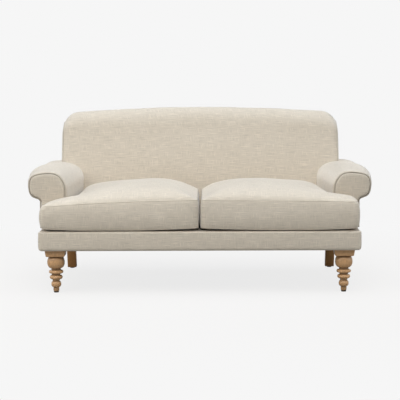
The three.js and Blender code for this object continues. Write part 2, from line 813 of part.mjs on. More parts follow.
// Outline of the back seen from the side, from the foot of its inside face over the roll, as (y, z)
function backProfile(grow) {
  // The front of the roll is a longer curve than its rear
  const frontRoll = arc(at(0, 0), 1, Math.PI - backFaceTurn, Math.PI / 2, 6).map((p) => at(
    backRollY + p.x * (backRollReach + grow), backHeight - backRollDrop + p.y * (backRollDrop + grow)));
  const rearRoll = arc(at(backRollY, backRollZ), backRollRadius + grow, Math.PI / 2, 0, 4).slice(1);
  const rollPoints = [...frontRoll, ...rearRoll];
  const foot = at(insideBackY - grow, padBottomZ - grow);
  const top = rollPoints[0];
  const depth = top.x - foot.x;
  const rise = top.y - foot.y;
  const control = (shares) => at(foot.x + depth * shares[0], foot.y + rise * shares[1]);
  const face = new THREE.CubicBezierCurve(
    foot, control(backFaceLowerShares), control(backFaceUpperShares), top).getPoints(8).slice(0, -1);
  const lipZ = backRollZ - backLipDrop;
  const rear = (z) => at(backPlane(z) - fit + grow, z);
  return [...face, ...rollPoints, rear(lipZ), at(rear(padBottomZ).x, padBottomZ - grow)];
}

// The ends of the back round off in plan and at the top corners, and the top is crowned
function backPoint(x, p, grow) {
  const end = backHalfWidth + grow;
  const reach = Math.abs(x);
  const rounded = (radius) => {
    const into = THREE.MathUtils.clamp(reach - (end - radius), 0, radius);
    return radius - Math.sqrt(radius * radius - into * into);
  };
  const lowZ = backRollZ - backLipDrop - 3 * backCornerRadius;
  const high = THREE.MathUtils.clamp((p.y - lowZ) / (backHeight - lowZ), 0, 1);
  const drop = rounded(backCornerRadius) + backCrown * (reach / end) ** 2;
  const z = p.y - drop * high ** 2;
  const middle = frameFront(p.y);
  const edge = p.x < middle ? rounded(backEdgeRadius) : -rounded(backRearEdge);
  const away = THREE.MathUtils.clamp(Math.abs(p.x - middle) / backEdgeRadius, 0, 1);
  const swell = p.x < middle ? backBulge * (1 - (reach / end) ** 2) * bulgeShare(p.y) : 0;
  const slide = backPlane(z) - backPlane(p.y);
  return new THREE.Vector3(x, p.x + edge * away - swell + slide, z);
}

// The inside face swells most half way between the seat and the roll
function bulgeShare(z) {
  const from = deckTop + boxingHeight;
  const share = THREE.MathUtils.clamp((z - from) / (backRollZ - from), 0, 1);
  return Math.sin(Math.PI * share);
}

function backStations(grow) {
  const end = backHalfWidth + grow;
  const corner = [0, 28, 50, 70, 90].map((degrees) =>
    end - backCornerRadius * (1 - Math.sin(THREE.MathUtils.degToRad(degrees))));
  const half = [...backStationShares.map((share) => end * share), ...corner];
  return [...half.map((x) => -x).reverse(), 0, ...half];
}

function backLoft(grow) {
  const profile = backProfile(grow);
  const rings = backStations(grow).map((x) => profile.map((p) => backPoint(x, p, grow)));
  return loft(rings, (v) => at(v.y, v.z));
}

function insideBack() {
  const halfWidth = backPostOuterX + fit;
  const bottom = padBottomZ - overrun;
  const top = backHeight - backCavityDrop;
  const flapBottom = top - backFlapHeight;
  const front = (z) => backPlane(z) - backCavityDepth;
  const flap = (z) => backPlane(z) - backFlapThickness;
  const hollow = extrudedAcross([
    at(front(bottom), bottom), at(front(top), top), at(flap(top), top), at(flap(flapBottom), flapBottom),
    at(backPlane(flapBottom) + overrun, flapBottom), at(backPlane(bottom) + overrun, bottom),
  ], [-halfWidth, halfWidth]);
  const rightTunnel = armRail(fit);
  return carved(backLoft(0), hollow, rightTunnel, mirrored(rightTunnel));
}

// The rear panel leans with the back plane and steps in above the side panels
function outsideBack() {
  const stepZ = neckZ - padBulge - fit;
  const lip = at(backPlane(backRollZ - backLipDrop), backRollZ - backLipDrop);
  const topLine = backStations(0).filter((x) => x >= 0).map((x) => at(x, backPoint(x, lip, 0).z - 2 * fit));
  const half = [at(sideX, legHeight), at(sideX, stepZ), at(backHalfWidth, stepZ), ...topLine.reverse()];
  const left = half.slice(0, -1).map((p) => at(-p.x, p.y)).reverse();
  const panel = extrudedBack([...half, ...left], [0, backPanelThickness]);
  const shear = new THREE.Matrix4().makeShear(0, 0, 0, 0, 0, Math.tan(backRake));
  return panel.applyMatrix4(shear).translate(0, backPlane(0), 0);
}

function addBack() {
  place(upholstery, 'inside_back', insideBack(), linen);
  place(upholstery, 'outside_back', outsideBack(), linen);
}

// Seat cushions

// Edges of the right cushion's seams: it runs to the arm's pad, and an ear passes in front of the arm
function cushionEdges(inset) {
  const padInnerX = facingInnerX - padBulge - cushionClearance - sideBoxingBulge;
  return {
    inner: cushionGap / 2 + sideBoxingBulge + inset,
    side: padInnerX - inset,
    sideTaper: armTaper,
    outer: halfSeat - earBoxingBulge - inset,
    front: frontY + inset,
    earBack: facingY - cushionClearance - sideBoxingBulge - inset,
    back: insideBackY - cushionRearGap - sideBoxingBulge - inset,
    corner: cushionCornerRadius - inset,
  };
}

// Places between two ends, without the ends
const spread = (from, to, count) =>
  Array.from({ length: count }, (_, k) => from + (to - from) * (k + 1) / (count + 1));

function cushionLines(edges, cornerSteps, spans) {
  const near = (edge, sign) => Array.from({ length: cornerSteps + 1 }, (_, k) =>
    edge + sign * edges.corner * k / cornerSteps);
  const xs = [
    ...near(edges.inner, 1), ...spread(edges.inner + edges.corner, edges.side - edges.corner, spans),
    ...near(edges.side, -1).reverse(),
    ...spread(edges.side, edges.outer - edges.corner, Math.ceil(spans / 4)),
    ...near(edges.outer, -1).reverse(),
  ];
  const ys = [
    ...near(edges.front, 1), (edges.front + edges.earBack) / 2, ...near(edges.earBack, -1).reverse(),
    ...spread(edges.earBack, edges.back - edges.corner, spans - 1),
    ...near(edges.back, -1).reverse(),
  ];
  return { xs, ys };
}

// A point of the seam grid, with round corners, the side tapered along the arm and the front drawn in
function cushionPlan(edges, x, y) {
  const corners = [
    [edges.inner, edges.front, 1, 1], [edges.outer, edges.front, -1, 1], [edges.outer, edges.earBack, -1, -1],
    [edges.side, edges.back, -1, -1], [edges.inner, edges.back, 1, -1],
  ];
  let [px, py] = [x, y];
  for (const [cx, cy, sx, sy] of corners) {
    const s = 1 - (x - cx) * sx / edges.corner;
    const t = 1 - (y - cy) * sy / edges.corner;
    if (s > 0 && t > 0 && s <= 1 + fit && t <= 1 + fit) {
      px = cx + sx * edges.corner * (1 - s * Math.sqrt(1 - t * t / 2));
      py = cy + sy * edges.corner * (1 - t * Math.sqrt(1 - s * s / 2));
    }
  }
  const length = edges.back - edges.earBack;
  const past = THREE.MathUtils.clamp((y - edges.earBack) / length, 0, 1);
  const acrossShare = (x - edges.inner) / (edges.outer - edges.inner);
  const taper = edges.sideTaper * past * (x - edges.inner) / (edges.side - edges.inner);
  const nearFront = THREE.MathUtils.clamp(1 - (y - edges.front) / crownRun, 0, 1);
  const drawn = cushionDrawnIn * Math.sin(Math.PI * THREE.MathUtils.clamp(acrossShare, 0, 1)) * nearFront;
  return at(px - taper, py + drawn);
}

// How far a point of the grid lies inside the outline
function cushionDepth(edges, x, y) {
  const earCorner = y > edges.earBack ? edges.side - x
    : Math.hypot(Math.max(edges.side - x, 0), edges.earBack - y);
  return Math.max(0, Math.min(x - edges.inner, y - edges.front, edges.back - y, edges.outer - x, earCorner));
}

function cushionBody(inset, cornerSteps, spans) {
  const edges = cushionEdges(inset);
  const { xs, ys } = cushionLines(edges, cornerSteps, spans);
  const bottomZ = deckTop + fit + inset;
  const seam = (x, y) => {
    const nearFront = THREE.MathUtils.clamp((edges.back - y) / (edges.back - edges.earBack), 0, 1);
    const fall = seamFall * (x / edges.outer) ** 2 * nearFront;
    return deckTop + fit + boxingHeight + seamLift - inset - fall;
  };
  const run = crownRun - inset;
  const slopeX = edges.side - (edges.outer - edges.side) * earSlopeShare;
  const crown = (depth, x) => {
    const past = THREE.MathUtils.clamp((x - slopeX) / (edges.outer - slopeX), 0, 1);
    const height = cushionCrown * (1 - (1 - earCrownShare) * past);
    return height * Math.sqrt(1 - (1 - Math.min(depth / run, 1)) ** 2);
  };
  const positions = [];
  const faces = [];
  const grid = new Map();
  const put = (x, y, z) => positions.push(x, y, z) / 3 - 1;
  const isIn = (i, j) => xs[i + 1] <= edges.side + fit / 2 || ys[j + 1] <= edges.earBack + fit / 2;
  const vertex = (i, j) => {
    const key = `${i},${j}`;
    if (!grid.has(key)) {
      const plan = cushionPlan(edges, xs[i], ys[j]);
      const depth = cushionDepth(edges, xs[i], ys[j]);
      const flat = Math.min(1, depth / edges.corner);
      const topZ = seam(xs[i], ys[j]);
      const top = put(plan.x, plan.y, topZ + crown(depth, xs[i]));
      const bottom = put(plan.x, plan.y, bottomZ + bottomRound * (1 - flat));
      grid.set(key, { plan, top, bottom, topZ, bottomZ: bottomZ + bottomRound });
    }
    return grid.get(key);
  };
  const edgesOut = new Map();
  for (let i = 0; i + 1 < xs.length; i++) {
    for (let j = 0; j + 1 < ys.length; j++) {
      if (!isIn(i, j)) continue;
      const around = [vertex(i, j), vertex(i + 1, j), vertex(i + 1, j + 1), vertex(i, j + 1)];
      const [a, b, c, d] = around;
      faces.push(a.top, b.top, c.top, a.top, c.top, d.top);
      faces.push(a.bottom, c.bottom, b.bottom, a.bottom, d.bottom, c.bottom);
      around.forEach((from, k) => {
        const to = around[(k + 1) % 4];
        const back = `${to.top},${from.top}`;
        if (edgesOut.has(back)) edgesOut.delete(back);
        else edgesOut.set(`${from.top},${to.top}`, [from, to]);
      });
    }
  }
  addBoxing([...edgesOut.values()], edges, inset ? [[0.5, 1]] : boxingShares, put, faces);
  const geometry = new THREE.BufferGeometry();
  geometry.setAttribute('position', new THREE.Float32BufferAttribute(positions, 3));
  geometry.setIndex(faces);
  return geometry;
}

// The boxing bulges between its two seams, more at the front and most at the end of the ear
function addBoxing(rim, edges, rows, put, faces) {
  const outward = new Map();
  for (const [from, to] of rim) {
    const normal = at(to.plan.y - from.plan.y, from.plan.x - to.plan.x).normalize();
    for (const end of [from, to]) outward.set(end, (outward.get(end) || at(0, 0)).clone().add(normal));
  }
  const columns = new Map();
  for (const [end, sum] of outward) {
    const normal = sum.clone().normalize();
    const forward = Math.max(0, -normal.y);
    const sideways = end.plan.x > edges.side + fit ? Math.max(0, normal.x) : 0;
    const most = sideBoxingBulge + (frontBoxingBulge - sideBoxingBulge) * forward
      + (earBoxingBulge - sideBoxingBulge) * sideways;
    const column = rows.map(([rise, share]) => {
      const p = end.plan.clone().addScaledVector(normal, most * share);
      return put(p.x, p.y, end.bottomZ + (end.topZ - end.bottomZ) * rise);
    });
    columns.set(end, [end.bottom, ...column, end.top]);
  }
  for (const [from, to] of rim) {
    const [a, b] = [columns.get(from), columns.get(to)];
    for (let k = 0; k + 1 < a.length; k++) {
      faces.push(a[k], b[k], b[k + 1], a[k], b[k + 1], a[k + 1]);
    }
  }
}

const zipZ = deckTop + fit + (boxingHeight + bottomRound) / 2;
const zipFromX = halfSeat / 2 - zipLength / 2;
const cushionBackY = insideBackY - cushionRearGap;

function cushionCover() {
  const slot = block([zipFromX, zipFromX + zipLength],
    [cushionBackY - sideBoxingBulge - coverThickness - overrun, cushionBackY + overrun],
    [zipZ - zipHeight / 2, zipZ + zipHeight / 2]);
  return carved(cushionBody(0, 2, 5), cushionBody(coverThickness, 1, 3), slot);
}

function cushionCore() {
  return shaded(cushionBody(coverThickness + 2 * fit, 1, 3));
}

// The closed zip fills the slit in the rear boxing
function zipTape() {
  const xs = [zipFromX + fit, zipFromX + zipLength - fit];
  const zs = [zipZ - zipHeight / 2 + fit, zipZ + zipHeight / 2 - fit];
  return block(xs, [cushionBackY - zipTapeThickness, cushionBackY - fit], zs);
}

// The slider straddles the closed zip, with its pull tab hanging down
function zipSlider() {
  const body = block([0, sliderLength], [0, sliderThickness], [-sliderHeight / 2, sliderHeight / 2]);
  const middle = sliderLength / 2;
  const tab = block([middle - tabWidth / 2, middle + tabWidth / 2],
    [sliderThickness - tabThickness / 2, sliderThickness + tabThickness / 2],
    [-tabLength, sliderHeight / 4]);
  return joined(body, tab);
}

function addCushions() {
  placePair(cushions, 'cushion_cover', cushionCover(), linen);
  placePair(cushions, 'cushion_core', cushionCore(), foam);
  placePair(cushions, 'zip_tape', zipTape(), zipCloth);
  placePair(cushions, 'zip_slider', zipSlider(), zinc, zipFromX, cushionBackY + fit, zipZ);
}

addRails();
addCornerBlocks();
addBackFrame();
addArmFrames();
addSprings();
addLegs();
addBase();
addArms();
addBack();
addCushions();

export default sofa;
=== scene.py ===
"""Upholstery, legs and studio of a two-seat sofa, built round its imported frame. Lengths are in metres."""

import math

import bmesh
import bpy
import numpy as np
from bpy.props import FloatProperty, FloatVectorProperty, PointerProperty
from mathutils import Matrix, Vector, noise


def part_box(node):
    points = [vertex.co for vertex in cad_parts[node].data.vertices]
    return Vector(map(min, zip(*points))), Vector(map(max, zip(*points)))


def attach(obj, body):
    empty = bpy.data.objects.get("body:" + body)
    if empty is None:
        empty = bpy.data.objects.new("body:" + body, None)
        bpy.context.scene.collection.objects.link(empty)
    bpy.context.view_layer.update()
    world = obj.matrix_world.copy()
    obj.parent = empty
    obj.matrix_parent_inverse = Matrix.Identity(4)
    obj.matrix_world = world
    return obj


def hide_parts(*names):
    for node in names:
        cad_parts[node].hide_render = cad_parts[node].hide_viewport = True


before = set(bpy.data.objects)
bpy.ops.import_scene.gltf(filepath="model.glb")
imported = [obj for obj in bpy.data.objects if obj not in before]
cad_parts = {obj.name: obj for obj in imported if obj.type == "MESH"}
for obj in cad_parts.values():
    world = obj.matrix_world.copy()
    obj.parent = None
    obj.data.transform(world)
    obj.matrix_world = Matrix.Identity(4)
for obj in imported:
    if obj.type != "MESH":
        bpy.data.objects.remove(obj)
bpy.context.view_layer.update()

bl_info = {
    "name": "English Roll Arm Sofa",
    "version": (1, 0, 0),
    "blender": (4, 5, 0),
    "location": "3D Viewport > Sidebar > Sofa",
    "description": "Dresses the packed frame of a two-seat sofa with linen, oak and a plain studio",
    "category": "Object",
}

MM = 0.001
# Below this two places are the same
TINY = 0.01 * MM
# A wave texture of scale 1 repeats once in this length
WAVE_LENGTH = 0.314
# A colour mix has sockets of the same name, so they are known by their places
FACTOR, LOW, HIGH, MIXED = 0, 6, 7, 2
MIRROR = Matrix.Scale(-1, 4, (1, 0, 0))

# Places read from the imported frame
band_low, band_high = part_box("front_border")
HALF_SEAT = band_high.x
FRONT_Y = band_low.y
BAND_BOTTOM = band_low.z
BAND_TOP = band_high.z
BAND_BACK_Y = band_high.y
DECK_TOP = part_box("seat_deck")[1].z
facing_low, facing_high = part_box("right_arm_facing")
FACING_Y = facing_low.y
FACING_BACK_Y = facing_high.y
FACING_INNER_X = facing_low.x
PAD_BOTTOM = facing_low.z
back_low, back_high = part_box("inside_back")
BACK_HALF = back_high.x
BACK_TOP = back_high.z
INSIDE_BACK_Y = back_low.y
leg_low, leg_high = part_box("front_right_leg")
LEG_X = (leg_low.x + leg_high.x) / 2
LEG_Y = (leg_low.y + leg_high.y) / 2
LEG_TOP = leg_high.z
panel_low, panel_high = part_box("right_outside_arm")
SIDE_X = panel_high.x

# Sizes that the frame's boxes can't give, as the part's source has them
FIT = 0.3 * MM
ROLL_RADIUS = 84 * MM
PAD_BULGE = 12 * MM
PAD_SWELL = 18 * MM
PAD_FOOT = 34 * MM
# How far the pad comes down at the neck, as a share of its bulge
PAD_TUCK = 0.85
HOLLOW_INSET = 25.5 * MM
ARM_TAPER = 36 * MM
NECK_INSET = 4 * MM
NECK_DROP = 68 * MM
NECK_THICKNESS = 12 * MM
CURL_END = math.radians(10)
NECK_RISE = 34 * MM
PIPING_RADIUS = 3.5 * MM
PIPING_GAP = 0.8 * MM
BACK_ROLL_RADIUS = 70 * MM
BACK_ROLL_REACH = 104 * MM
BACK_ROLL_DROP = 130 * MM
BACK_CROWN = 30 * MM
BACK_CORNER_RADIUS = 84 * MM
BACK_EDGE_RADIUS = 30 * MM
BACK_BULGE = 12 * MM
BACK_RAKE = math.radians(7.6)
BACK_PANEL = 5 * MM
BACK_MIDDLE = 59.6 * MM
REAR_Y = 470 * MM
CUSHION_CORNER = 28 * MM
EAR_BULGE = 14 * MM
CUSHION_GAP = 7 * MM
BLOCK_HALF = 49 * MM
REAR_LEG_HALF = 23 * MM
REAR_LEG_Y = 350 * MM
# A panel that changes its width does so over this distance
STEP = 0.5 * MM
# The arm's scroll, as shares of its radius from its middle, across and up
SCROLL = (
    (-1, -0.07), (-0.985, 0.22), (-0.87, 0.51), (-0.69, 0.75), (-0.45, 0.89), (-0.1, 0.93), (0.33, 0.9),
    (0.66, 0.82), (0.86, 0.69), (0.95, 0.48), (0.965, 0.17), (0.915, -0.13), (0.8, -0.3), (0.62, -0.385),
    (0.41, -0.47), (0.31, -0.62),
)

ROLL_X = FACING_INNER_X + ROLL_RADIUS
SCROLL_TOP = max(z for _, z in SCROLL)
ROLL_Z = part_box("right_facing_piping")[1].z - SCROLL_TOP * ROLL_RADIUS - 2 * PIPING_RADIUS - PIPING_GAP
NECK_X = HALF_SEAT - NECK_INSET
NECK_Z = ROLL_Z - NECK_DROP
BACK_ROLL_Y = REAR_Y - BACK_ROLL_RADIUS
BACK_ROLL_Z = BACK_TOP - BACK_ROLL_RADIUS
LIP_Z = BACK_ROLL_Z - 5 * MM
CUSHION_SIDE_X = FACING_INNER_X - PAD_BULGE - CUSHION_GAP
CUSHION_EAR_Y = FACING_Y - CUSHION_GAP
CUSHION_BACK_Y = 163 * MM
SEAM_Z = DECK_TOP + 147 * MM


def back_plane(z):
    """Y of the plane that the rear of the sofa leans along"""
    return REAR_Y - BACK_PANEL - (BACK_ROLL_Z - z) * math.tan(BACK_RAKE)


def linear(code):
    """An sRGB hex colour as linear red, green, blue and alpha"""
    parts = [int(code[k:k + 2], 16) / 255 for k in (0, 2, 4)]
    return tuple(p / 12.92 if p <= 0.04045 else ((p + 0.055) / 1.055) ** 2.4 for p in parts) + (1.0,)


def opaque(colour):
    return tuple(colour)[:3] + (1.0,)


def scaled(colour, factor):
    return tuple(min(1.0, c * factor) for c in tuple(colour)[:3]) + (1.0,)


# Sizes and colours that a user would change


def length(name, description, default, least, most):
    return FloatProperty(name=name, description=description, subtype="DISTANCE", unit="LENGTH",
                         default=default, min=least, max=most)


def level(name, description, default, most=10.0, **settings):
    return FloatProperty(name=name, description=description, default=default, min=0, max=most, **settings)


def tint(name, description, code):
    return FloatVectorProperty(name=name, description=description, subtype="COLOR", size=3, min=0, max=1,
                               default=linear(code)[:3])


class LinenSettings(bpy.types.PropertyGroup):
    """The slub linen that covers the sofa"""
    colour: tint("Linen", "Colour of the cloth in plain daylight", "dbd0c0")
    thread: length("Thread spacing", "Distance from one thread to the next", 1.6 * MM, 0.4 * MM, 6 * MM)
    slub_length: length("Slub length", "Length of the thick places in the yarn", 60 * MM, 5 * MM, 120 * MM)
    slub_width: length("Slub width", "Thickness of the thick places in the yarn", 4 * MM, 0.5 * MM, 10 * MM)
    slub_contrast: level("Slub contrast", "How far the slubs stand out in colour", 0.22, 1, subtype="FACTOR")
    sheen: level("Sheen", "Bright edge of the loose fibres on the cloth", 0.6, 1, subtype="FACTOR")


class CushionSettings(bpy.types.PropertyGroup):
    """The two loose seat cushions"""
    crown: length("Crown", "Rise of the top above its seam", 69 * MM, 10 * MM, 90 * MM)
    crown_run: length("Crown run", "Distance from the front and rear seams at which the crown is full",
                      280 * MM, 80 * MM, 320 * MM)
    inner_run: length("Inner run", "Distance from the seam in the sofa's middle at which the crown is full",
                      225 * MM, 80 * MM, 320 * MM)
    front_bulge: length("Front bulge", "How far the front boxing swells between its seams",
                        8 * MM, 0, 16 * MM)
    side_bulge: length("Side bulge", "How far the other boxing swells between its seams", 4 * MM, 0, 6 * MM)
    left_droop: length("Left ear droop", "Fall of the left cushion's seam to its outer corner",
                       28 * MM, 0, 40 * MM)
    right_droop: length("Right ear droop", "Fall of the right cushion's seam to its outer corner",
                        9 * MM, 0, 40 * MM)
    swelling: length("Swelling limit", "How far the simulated cloth may move from its pattern",
                     9 * MM, 0, 30 * MM)


class WoodSettings(bpy.types.PropertyGroup):
    """The legs and the hidden hardwood frame"""
    front_oak: tint("Front oak", "Colour of the turned front legs", "d6a97a")
    rear_oak: tint("Rear oak", "Colour of the sawn rear legs", "d69a5c")
    beech: tint("Beech", "Colour of the hardwood frame inside", "cfae83")
    grain: length("Grain width", "Distance from one line of the grain to the next", 3.5 * MM, MM, 12 * MM)


class StudioSettings(bpy.types.PropertyGroup):
    """Camera, floor and light"""
    distance: length("Camera distance", "From the front legs to the camera", 6.615, 2, 12)
    height: length("Camera height", "Height of the camera over the floor", 1.1074, 0.2, 4)
    offset: length("Camera offset", "How far the camera stands to the right of the middle", 0.0411, -1, 1)
    lens: FloatProperty(name="Lens", description="Focal length on a 36 mm wide sensor, in millimetres",
                        default=125.33, min=20, max=300)
    backdrop: tint("Backdrop", "Colour of the floor and of all behind the sofa", "f6f6f6")
    overhead: level("Overhead light", "Strength of the soft light straight above", 2.3)
    front: level("Front light", "Strength of the high light in front", 0.95)
    rear: level("Rear light", "Strength of the low light behind", 0.6)
    sides: level("Side lights", "Strength of the low lights on both sides", 0.7)
    near: level("Near light", "Power of the lamp in front on the left, in watts", 34, 1000)
    ambient: level("Ambient light", "Strength of the light from all round", 0.02, 2)


class SofaSettings(bpy.types.PropertyGroup):
    """All that a user would change"""
    linen: PointerProperty(type=LinenSettings)
    cushion: PointerProperty(type=CushionSettings)
    wood: PointerProperty(type=WoodSettings)
    studio: PointerProperty(type=StudioSettings)


# Materials


def new_material(name):
    material = bpy.data.materials.new(name)
    material.use_nodes = True
    tree = material.node_tree
    tree.nodes.clear()
    return material, tree


def add_node(tree, kind, inputs=None, **settings):
    """A node with its settings; inputs holds a value for a socket, or an output to link to it"""
    node = tree.nodes.new(kind)
    for key, value in settings.items():
        setattr(node, key, value)
    for key, value in (inputs or {}).items():
        socket = node.inputs[key]
        if isinstance(value, bpy.types.NodeSocket):
            tree.links.new(value, socket)
        else:
            socket.default_value = value
    return node


def finish_surface(tree, layers, height, strength, depth, **values):
    """The shader of a piece, with its bump, joined to the output. Each layer is a factor and the two
    colours that it blends, and None stands for what the layers before it made."""
    tone = None
    for factor, low, high in layers:
        tone = add_node(tree, "ShaderNodeMix", {
            FACTOR: factor, LOW: low or tone, HIGH: high or tone}, data_type="RGBA").outputs[MIXED]
    bump = add_node(tree, "ShaderNodeBump", {"Height": height, "Strength": strength, "Distance": depth})
    shader = add_node(tree, "ShaderNodeBsdfPrincipled", {
        "Base Color": tone, "Normal": bump.outputs["Normal"],
        **{key.replace("_", " "): value for key, value in values.items()}})
    add_node(tree, "ShaderNodeOutputMaterial", {"Surface": shader.outputs["BSDF"]})


def woven_linen(name, painted_shade_factor=1.0):
    """Plain-woven flax with uneven yarn: at arm's length the eye sees faint dashes of thick and thin
    thread, darker and lighter than the cream ground, across and up the cloth, and no shine."""
    linen = bpy.context.scene.sofa.linen
    material, tree = new_material(name)
    uv = add_node(tree, "ShaderNodeUVMap", uv_map="weave").outputs["UV"]

    def slubs(across, along, seed, readings):
        """Dashes of uneven yarn, drawn out along the thread, and how strong each reading of them is"""
        drawn = add_node(tree, "ShaderNodeMapping", {
            "Vector": uv, "Scale": (1 / across, 1 / along, 1), "Location": (seed, seed, 0)})
        yarn = add_node(tree, "ShaderNodeTexNoise", {
            "Vector": drawn.outputs["Vector"], "Scale": 1.0, "Detail": 1.0, "Roughness": 0.5})
        return [add_node(tree, "ShaderNodeMapRange", {
            "Value": yarn.outputs["Fac"], "From Min": none, "From Max": full}).outputs["Result"]
            for none, full in readings]

    # The real thread is 0.8 mm apart, drawn twice as coarse so that it shows in a near view
    weft, warp = (add_node(tree, "ShaderNodeTexWave", {
        "Vector": uv, "Scale": WAVE_LENGTH / linen.thread, "Distortion": 0.6, "Detail": 1.0},
        bands_direction=way).outputs["Fac"] for way in "YX")
    threads = add_node(tree, "ShaderNodeMath", {0: weft, 1: warp}, operation="MULTIPLY").outputs[0]
    # The cloth is a little uneven in tone over 200 mm
    cloud = add_node(tree, "ShaderNodeTexNoise", {"Vector": uv, "Scale": 5.0, "Detail": 2.0}).outputs["Fac"]
    clouds, weave = (add_node(tree, "ShaderNodeMapRange", {
        "Value": value, "From Min": none, "From Max": full}).outputs["Result"]
        for value, none, full in ((cloud, 0.3, 0.7), (threads, 0.0, 0.9)))

    # Slubs are 1 mm thick in the cloth and are drawn up to 4 mm, so that a small picture still shows them
    weft_slubs = slubs(linen.slub_length, linen.slub_width, 3.1, ((0.58, 0.70), (0.42, 0.30)))
    warp_slubs = slubs(linen.slub_width, linen.slub_length * 0.7, 7.7, ((0.61, 0.73), (0.39, 0.27)))
    thick, thin = (add_node(tree, "ShaderNodeMath", {0: across, 1: up}, operation="MAXIMUM").outputs[0]
                   for across, up in zip(weft_slubs, warp_slubs))
    thin_part, thick_part = (add_node(tree, "ShaderNodeMath", {0: value, 1: 0.8},
                                      operation="MULTIPLY").outputs[0] for value in (thin, thick))

    # A shade factor below 1 darkens the whole cloth: painted shade, used on the welts
    ground = scaled(linen.colour, painted_shade_factor)
    dark = scaled(linen.colour, painted_shade_factor * (1 - linen.slub_contrast))
    light = scaled(linen.colour, painted_shade_factor * (1 + linen.slub_contrast * 0.5))
    raised = add_node(tree, "ShaderNodeMath", {0: thick, 1: threads}, operation="ADD").outputs[0]
    layers = ((clouds, scaled(ground, 0.985), scaled(ground, 1.015)), (weave, scaled(ground, 0.9), None),
              (thin_part, None, dark), (thick_part, None, light))
    finish_surface(tree, layers, raised, 0.35, 0.5 * MM, Roughness=0.92, IOR=1.45,
                   Sheen_Weight=linen.sheen, Sheen_Roughness=0.45)
    return material


def groove_shade_depth(tree, place):
    """How far a point of a turned leg stands out, from its axis and less the leg's taper, which sets the
    painted shade of its grooves
    """
    taper_per_metre = 0.16
    beside = add_node(tree, "ShaderNodeSeparateXYZ", {"Vector": place}).outputs
    across = add_node(tree, "ShaderNodeMath", {0: beside["X"]}, operation="ABSOLUTE").outputs[0]
    flat = add_node(tree, "ShaderNodeCombineXYZ", {"X": across, "Y": beside["Y"]}).outputs["Vector"]
    radius = add_node(tree, "ShaderNodeVectorMath", {0: flat, 1: (LEG_X, LEG_Y, 0)},
                      operation="DISTANCE").outputs["Value"]
    taper = add_node(tree, "ShaderNodeMath", {0: beside["Z"], 1: taper_per_metre},
                     operation="MULTIPLY").outputs[0]
    return add_node(tree, "ShaderNodeMath", {0: radius, 1: taper}, operation="SUBTRACT").outputs[0]


def oak(name, colour, turned):
    """Oak under a thin satin oil: brown lines of the grain run along the leg, with short dark open pores.
    On the turned legs the grooves are darkened by painted shade, the deeper the darker, and the square block
    and the rings keep the full colour."""
    grain = bpy.context.scene.sofa.wood.grain
    # Depths at which the painted shade of the grooves is full and at which it is gone
    groove, crest = 3 * MM, 17 * MM
    material, tree = new_material(name)
    place = add_node(tree, "ShaderNodeTexCoord").outputs["Object"]
    along = add_node(tree, "ShaderNodeMapping", {"Vector": place, "Scale": (1, 1, 0.06)}).outputs["Vector"]
    rings = add_node(tree, "ShaderNodeTexWave", {
        "Vector": along, "Scale": WAVE_LENGTH / grain, "Distortion": 5.0, "Detail": 3.0, "Detail Scale": 2.0},
        bands_direction="DIAGONAL").outputs["Fac"]
    # The figure of the wood is about 11 mm wide
    flame = add_node(tree, "ShaderNodeTexNoise", {
        "Vector": along, "Scale": 90.0, "Detail": 4.0}).outputs["Fac"]
    # Pores are 0.3 mm wide in the wood and are drawn 1.1 mm wide and 18 mm long, so that they show
    fine = add_node(tree, "ShaderNodeMapping", {"Vector": place, "Scale": (900, 900, 55)}).outputs["Vector"]
    pores = add_node(tree, "ShaderNodeTexNoise", {"Vector": fine, "Scale": 1.0, "Detail": 1.0}).outputs["Fac"]
    pits, soft = (add_node(tree, "ShaderNodeMapRange", {
        "Value": value, "From Min": none, "From Max": full}).outputs["Result"]
        for value, none, full in ((pores, 0.62, 0.72), (flame, 0.35, 0.7)))
    layers = [(rings, scaled(colour, 0.8), scaled(colour, 1.06)),
              (soft, None, scaled(colour, 1.0 if turned else 0.85)), (pits, None, scaled(colour, 0.5))]
    # Painted shade: the grooves of the turning are darkened down to 0.4 of the colour, the less a point
    # stands out the darker
    if turned:
        depth = add_node(tree, "ShaderNodeMapRange", {
            "Value": groove_shade_depth(tree, place), "From Min": groove, "From Max": crest}).outputs["Result"]
        layers.append((depth, scaled(colour, 0.4), None))
    dents = add_node(tree, "ShaderNodeMath", {0: 1.0, 1: pits}, operation="SUBTRACT").outputs[0]
    worn = add_node(tree, "ShaderNodeMapRange", {
        "Value": flame, "To Min": 0.26, "To Max": 0.42}).outputs["Result"]
    finish_surface(tree, layers, dents, 0.25, 0.3 * MM, Roughness=worn, IOR=1.5)
    return material


def planed_beech():
    """Bare planed beech: pale pink brown with fine even flecks, and no finish on it."""
    beech = bpy.context.scene.sofa.wood.beech
    material, tree = new_material("planed_beech")
    place = add_node(tree, "ShaderNodeTexCoord").outputs["Object"]
    # The grain is about 6 mm wide, and the flecks 1.4 mm wide and 8 mm long
    grain, fleck = (add_node(tree, "ShaderNodeTexNoise", {
        "Vector": add_node(tree, "ShaderNodeMapping", {"Vector": place, "Scale": size}).outputs["Vector"],
        "Scale": fineness, "Detail": detail}).outputs["Fac"]
        for size, fineness, detail in (((8, 90, 90), 2.0, 4.0), ((120, 700, 700), 1.0, 0.0)))
    marks = add_node(tree, "ShaderNodeMapRange", {
        "Value": fleck, "From Min": 0.6, "From Max": 0.7}).outputs["Result"]
    layers = ((grain, scaled(beech, 0.85), scaled(beech, 1.08)), (marks, None, scaled(beech, 0.72)))
    finish_surface(tree, layers, grain, 0.15, 0.3 * MM, Roughness=0.62, IOR=1.5)
    return material


